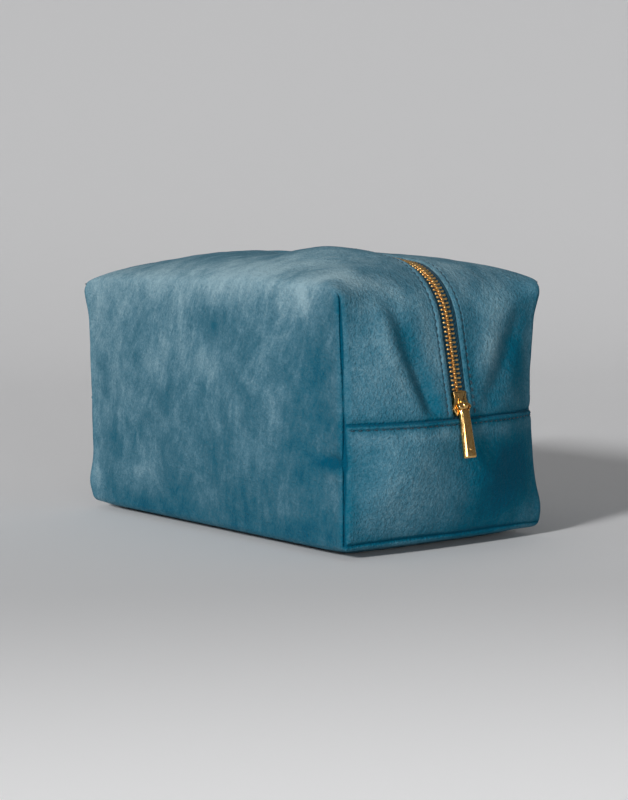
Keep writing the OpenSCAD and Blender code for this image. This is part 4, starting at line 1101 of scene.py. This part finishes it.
def crown():
    """The crown as a ring-shaped solid: its outline lofted across, with the bore left open."""
    outer = np.array([crown_ring(y, shrink) for y, shrink in CROWN_LEVELS])
    levels, m = outer.shape[:2]
    angles = np.arctan2(outer[..., 2] + LUG_DROP, outer[..., 0] - AXIS_OUT)
    bore = np.stack([AXIS_OUT + BORE_R * np.cos(angles), outer[..., 1], -LUG_DROP + BORE_R * np.sin(angles)], -1)
    last, off = (levels - 1) * m, levels * m
    faces = []
    for j in range(m):
        k = (j + 1) % m
        for i in range(levels - 1):
            faces.append([i * m + j, (i + 1) * m + j, (i + 1) * m + k, i * m + k])
            faces.append([off + i * m + j, off + i * m + k, off + (i + 1) * m + k, off + (i + 1) * m + j])
        faces.append([j, k, off + k, off + j])
        faces.append([last + k, last + j, off + last + j, off + last + k])
    return np.concatenate([outer.reshape(-1, 3), bore.reshape(-1, 3)]), faces


metal_piece("slider_crown", crown(), SLIDER_S, "slider", "slider_lug")

# Pull: a long faceted tongue under a head of two cheeks, one on each side of the crown, with a small rivet near its end
PULL_SWING = np.radians(np.arange(0, 151, 5))
CIRCLE = np.radians(np.arange(0, 360, 22.5))
CROSSBAR_R, CROSSBAR_END = CROSSBAR_D / 2 * 0.98, 2.9
RIVET_UP, RIVET_Y = 4.2, -0.3
# The tongue's section, as shares of its width and thickness, and its rings: distance from the crossbar and two shares
SECTION = [(-0.5, -0.44), (-0.46, -0.5), (0.46, -0.5), (0.5, -0.44), (0.5, -0.05), (0.35, 0.46), (0.31, 0.5),
           (-0.31, 0.5), (-0.35, 0.46), (-0.5, -0.05)]
TONGUE = ((2.2, 0.9, 0.8), (EYE_L - 0.8, 0.97, 0.94), (EYE_L, 1.0, 1.0), (10, 1.0, 1.0), (16, 1.0, 1.0),
          (22, 1.0, 1.0), (PULL_L - 0.9, 1.0, 1.0), (PULL_L - 0.35, 0.97, 0.94), (PULL_L, 0.88, 0.75))
rings = []
for below, share, thin in TONGUE:
    width = lerp(PULL_TOP_W, PULL_END_W, below / PULL_L) * share
    rings.append([[AXIS_OUT + PULL_T * thin * b, width * a, -LUG_DROP - below] for a, b in SECTION])
tongue = lofted(rings)


def cheek(y_from, y_to):
    """One side of the head: as full round the crossbar as the plate below leaves room for through the whole swing."""
    outline = []
    for a in np.radians(np.arange(0, 360, 15)):
        deepest = max(-np.cos(a + PULL_SWING).min(), 0.1)
        reach = min(HEAD_R, HEAD_ROOM / deepest)
        outline.append([reach * math.cos(a), reach * math.sin(a)])
    rings = []
    for y in lerp(y_from, y_to, 0.5 - 0.5 * np.cos(np.linspace(0, np.pi, 9))):
        full = math.sqrt(1 - (abs(y) / (HEAD_W / 2 + 0.25)) ** 4)
        rings.append([[AXIS_OUT + full * x, y, -LUG_DROP + full * z] for x, z in outline])
    return lofted(rings)


head = [cheek(-HEAD_W / 2, -EYE_W / 2), cheek(EYE_W / 2, HEAD_W / 2)]
crossbar = lofted([[[AXIS_OUT + CROSSBAR_R * math.cos(a), y, -LUG_DROP + CROSSBAR_R * math.sin(a)] for a in CIRCLE]
                   for y in (-CROSSBAR_END, CROSSBAR_END)])
rivet_z, rivet_x = -LUG_DROP - (PULL_L - RIVET_UP), AXIS_OUT + 0.5 * PULL_T
rivet = lofted([[[rivet_x + h, r * math.cos(a) + RIVET_Y, rivet_z + r * math.sin(a)] for a in CIRCLE]
                for h, r in ((-0.2, 0.72), (0.12, 0.68), (0.3, 0.5), (0.38, 0.2))])
metal_piece("pull_tongue", merged([tongue, *head, crossbar, rivet]), SLIDER_S, "pull", "pull_bar")

# Stops: small clamped staples at both ends of the chain
STAPLE_SECTION = [[-1.0, -1.35], [-0.8, -1.6], [0.8, -1.6], [1.0, -1.35], [1.0, 1.35], [0.8, 1.6], [-0.8, 1.6],
                  [-1.0, 1.35]]
STAPLE_SHARE, STAPLE_GAP_Y = 0.62, 1.05


def staple(y_from, y_to):
    """A clamped bar across the chain, rounded at both ends."""
    mid, half_y = (y_from + y_to) / 2, (y_to - y_from) / 2
    return lofted([[[x * TOOTH_H / 2 * a, mid + half_y * b, z * STOP_L / 2 * STAPLE_SHARE * a]
                    for x, z in STAPLE_SECTION]
                   for a, b in ((0.7, -1.0), (0.95, -0.9), (1.0, -0.6), (1.0, 0.6), (0.95, 0.9), (0.7, 1.0))])


metal_piece("closed_end_staples", merged([staple(-CHAIN_W / 2, -STAPLE_GAP_Y), staple(STAPLE_GAP_Y, CHAIN_W / 2)]),
            SLIDER_REST + SLIDER_L * 0.3, "bag", "closed_end_stops", TEETH_METAL)
metal_piece("far_end_staple", staple(-CHAIN_W / 2, CHAIN_W / 2), FAR_STOP_S, "bag", "far_end_stop", TEETH_METAL, -1)

# Studio, in metres: a pale floor that sweeps up behind, a low soft sun from the front, and three lamps that fill
FLOOR_FRONT, FLOOR_BACK, SWEEP_R, BACKDROP_TOP, FLOOR_HALF = -2.2, 0.9, 1.8, 3.6, 3.0
AWAY, ACROSS = Vector((-0.819, 0.574, 0)), Vector((0.574, 0.819, 0))
KEY_FROM, KEY_STRENGTH, KEY_SPREAD = Vector((0.26, -0.86, 0.40)), 2.75, math.radians(9)
# Camera: degrees round from the front, up and rolled; aim, distance and shifts; focal length and frame in pixels
CAMERA_TURN, CAMERA_LIFT, CAMERA_ROLL = (math.radians(a) for a in (54.93, 5.08, -1.12))
CAMERA_AIM, CAMERA_OFF, CAMERA_RIGHT, CAMERA_DOWN = Vector((0, 0, 0.0685)), 1.095, 0.0076, 0.002
FOCAL_PX, FRAME_PX, SENSOR_MM = 1992, 800, 36.0


def linked(name, data):
    """A lamp or camera as an object in the scene."""
    item = bpy.data.objects.new(name, data)
    bpy.context.scene.collection.objects.link(item)
    return item


def studio_floor():
    """Matt pale paint on a smooth sweep: no gloss, and painted light falloff, a grey that deepens a little with the
    distance.
    """
    profile = [(FLOOR_FRONT, 0.0), (FLOOR_BACK, 0.0)]
    profile += [(FLOOR_BACK + SWEEP_R * math.sin(a), SWEEP_R * (1 - math.cos(a)))
                for a in np.radians(np.arange(3, 91, 3))]
    profile += [(FLOOR_BACK + SWEEP_R, BACKDROP_TOP)]
    points = [AWAY * d + ACROSS * w + Vector((0, 0, z)) for d, z in profile for w in (-FLOOR_HALF, FLOOR_HALF)]
    faces = [[2 * i, 2 * i + 1, 2 * i + 3, 2 * i + 2] for i in range(len(profile) - 1)]
    material, tree, where = new_material("studio floor with painted light falloff and glow")
    depth = add(tree, "ShaderNodeVectorMath", {0: where, 1: tuple(AWAY)}, operation="DOT_PRODUCT").outputs["Value"]
    # Painted light falloff: lighter towards the front, greyer with the distance
    behind = add(tree, "ShaderNodeMapRange", {"Value": depth, "From Min": -0.65, "From Max": 2.35}).outputs[0]
    colour = add(tree, "ShaderNodeValToRGB", {"Fac": behind}, stops=(
        (0.0, "#e6e6e7"), (0.15, "#d4d4d5"), (0.3, "#d8d8d9"), (0.5, "#d8d8d9"), (1.0, "#bcbcbd"))).outputs["Color"]
    # Painted light: the floor glows paler towards the camera, for the eye and in reflections, without lighting the bag
    path = add(tree, "ShaderNodeLightPath").outputs
    seen = add(tree, "ShaderNodeMath", {0: path["Is Camera Ray"], 1: path["Is Glossy Ray"]}, operation="ADD").outputs[0]
    seen = add(tree, "ShaderNodeMath", {0: seen, 1: path["Is Transmission Ray"]}, operation="ADD").outputs[0]
    near = add(tree, "ShaderNodeMapRange", {"Value": depth, "From Min": -0.2, "From Max": -0.62, "To Max": 0.2},
               interpolation_type="SMOOTHSTEP").outputs["Result"]
    pale = add(tree, "ShaderNodeMath", {0: seen, 1: near}, operation="MULTIPLY").outputs[0]
    shader = add(tree, "ShaderNodeBsdfPrincipled", {
        "Base Color": colour, "Roughness": 0.9, "Specular IOR Level": 0.1, "Emission Color": linear("#ffffff"),
        "Emission Strength": pale}).outputs[0]
    add(tree, "ShaderNodeOutputMaterial", {"Surface": shader})
    make_piece("studio_floor", np.array(points) / MM, faces, material)


def lamp(name, place, target, size, power):
    light = bpy.data.lights.new(name, "AREA")
    light.shape, light.size, light.size_y, light.energy = "RECTANGLE", size[0], size[1], power
    item = linked(name, light)
    item.location = place
    item.rotation_euler = (Vector(target) - Vector(place)).to_track_quat("-Z", "Y").to_euler()


def key_light():
    light = bpy.data.lights.new("key light", "SUN")
    light.energy, light.angle = KEY_STRENGTH, KEY_SPREAD
    linked("key light", light).rotation_euler = KEY_FROM.to_track_quat("Z", "Y").to_euler()


def camera():
    """At the photograph's angle: 55 degrees round from the front, a little above."""
    level = math.cos(CAMERA_LIFT)
    back = Vector((math.sin(CAMERA_TURN) * level, -math.cos(CAMERA_TURN) * level, math.sin(CAMERA_LIFT)))
    right = (-back).cross(Vector((0, 0, 1))).normalized()
    up = right.cross(-back)
    rolled_right = right * math.cos(CAMERA_ROLL) + up * math.sin(CAMERA_ROLL)
    rolled_up = up * math.cos(CAMERA_ROLL) - right * math.sin(CAMERA_ROLL)
    data = bpy.data.cameras.new("camera")
    data.sensor_fit, data.sensor_width, data.lens = "AUTO", SENSOR_MM, SENSOR_MM * FOCAL_PX / FRAME_PX
    data.clip_start, data.clip_end = 0.01, 50
    item = linked("camera", data)
    item.matrix_world = Matrix((rolled_right, rolled_up, back)).transposed().to_4x4()
    item.location = CAMERA_AIM + back * CAMERA_OFF + right * CAMERA_RIGHT - up * CAMERA_DOWN
    bpy.context.scene.camera = item


def studio_air():
    world = bpy.data.worlds.new("studio air")
    bpy.context.scene.world = world
    world.use_nodes = True
    background = world.node_tree.nodes["Background"].inputs
    background["Color"].default_value, background["Strength"].default_value = linear("#c8c8c8"), 0.26


studio_floor()
key_light()
lamp("top softbox", (-0.3, -0.5, 1.9), (0, 0, 0), (1.4, 1.2), 2)
lamp("end fill", (2.0, -0.95, 0.36), (0, 0, 0.07), (0.9, 0.6), 13)
lamp("back fill", (-1.3, 1.9, 0.26), (0, 0, 0.07), (0.9, 0.4), 34)
studio_air()
bpy.context.scene.view_settings.view_transform = "Standard"
camera()
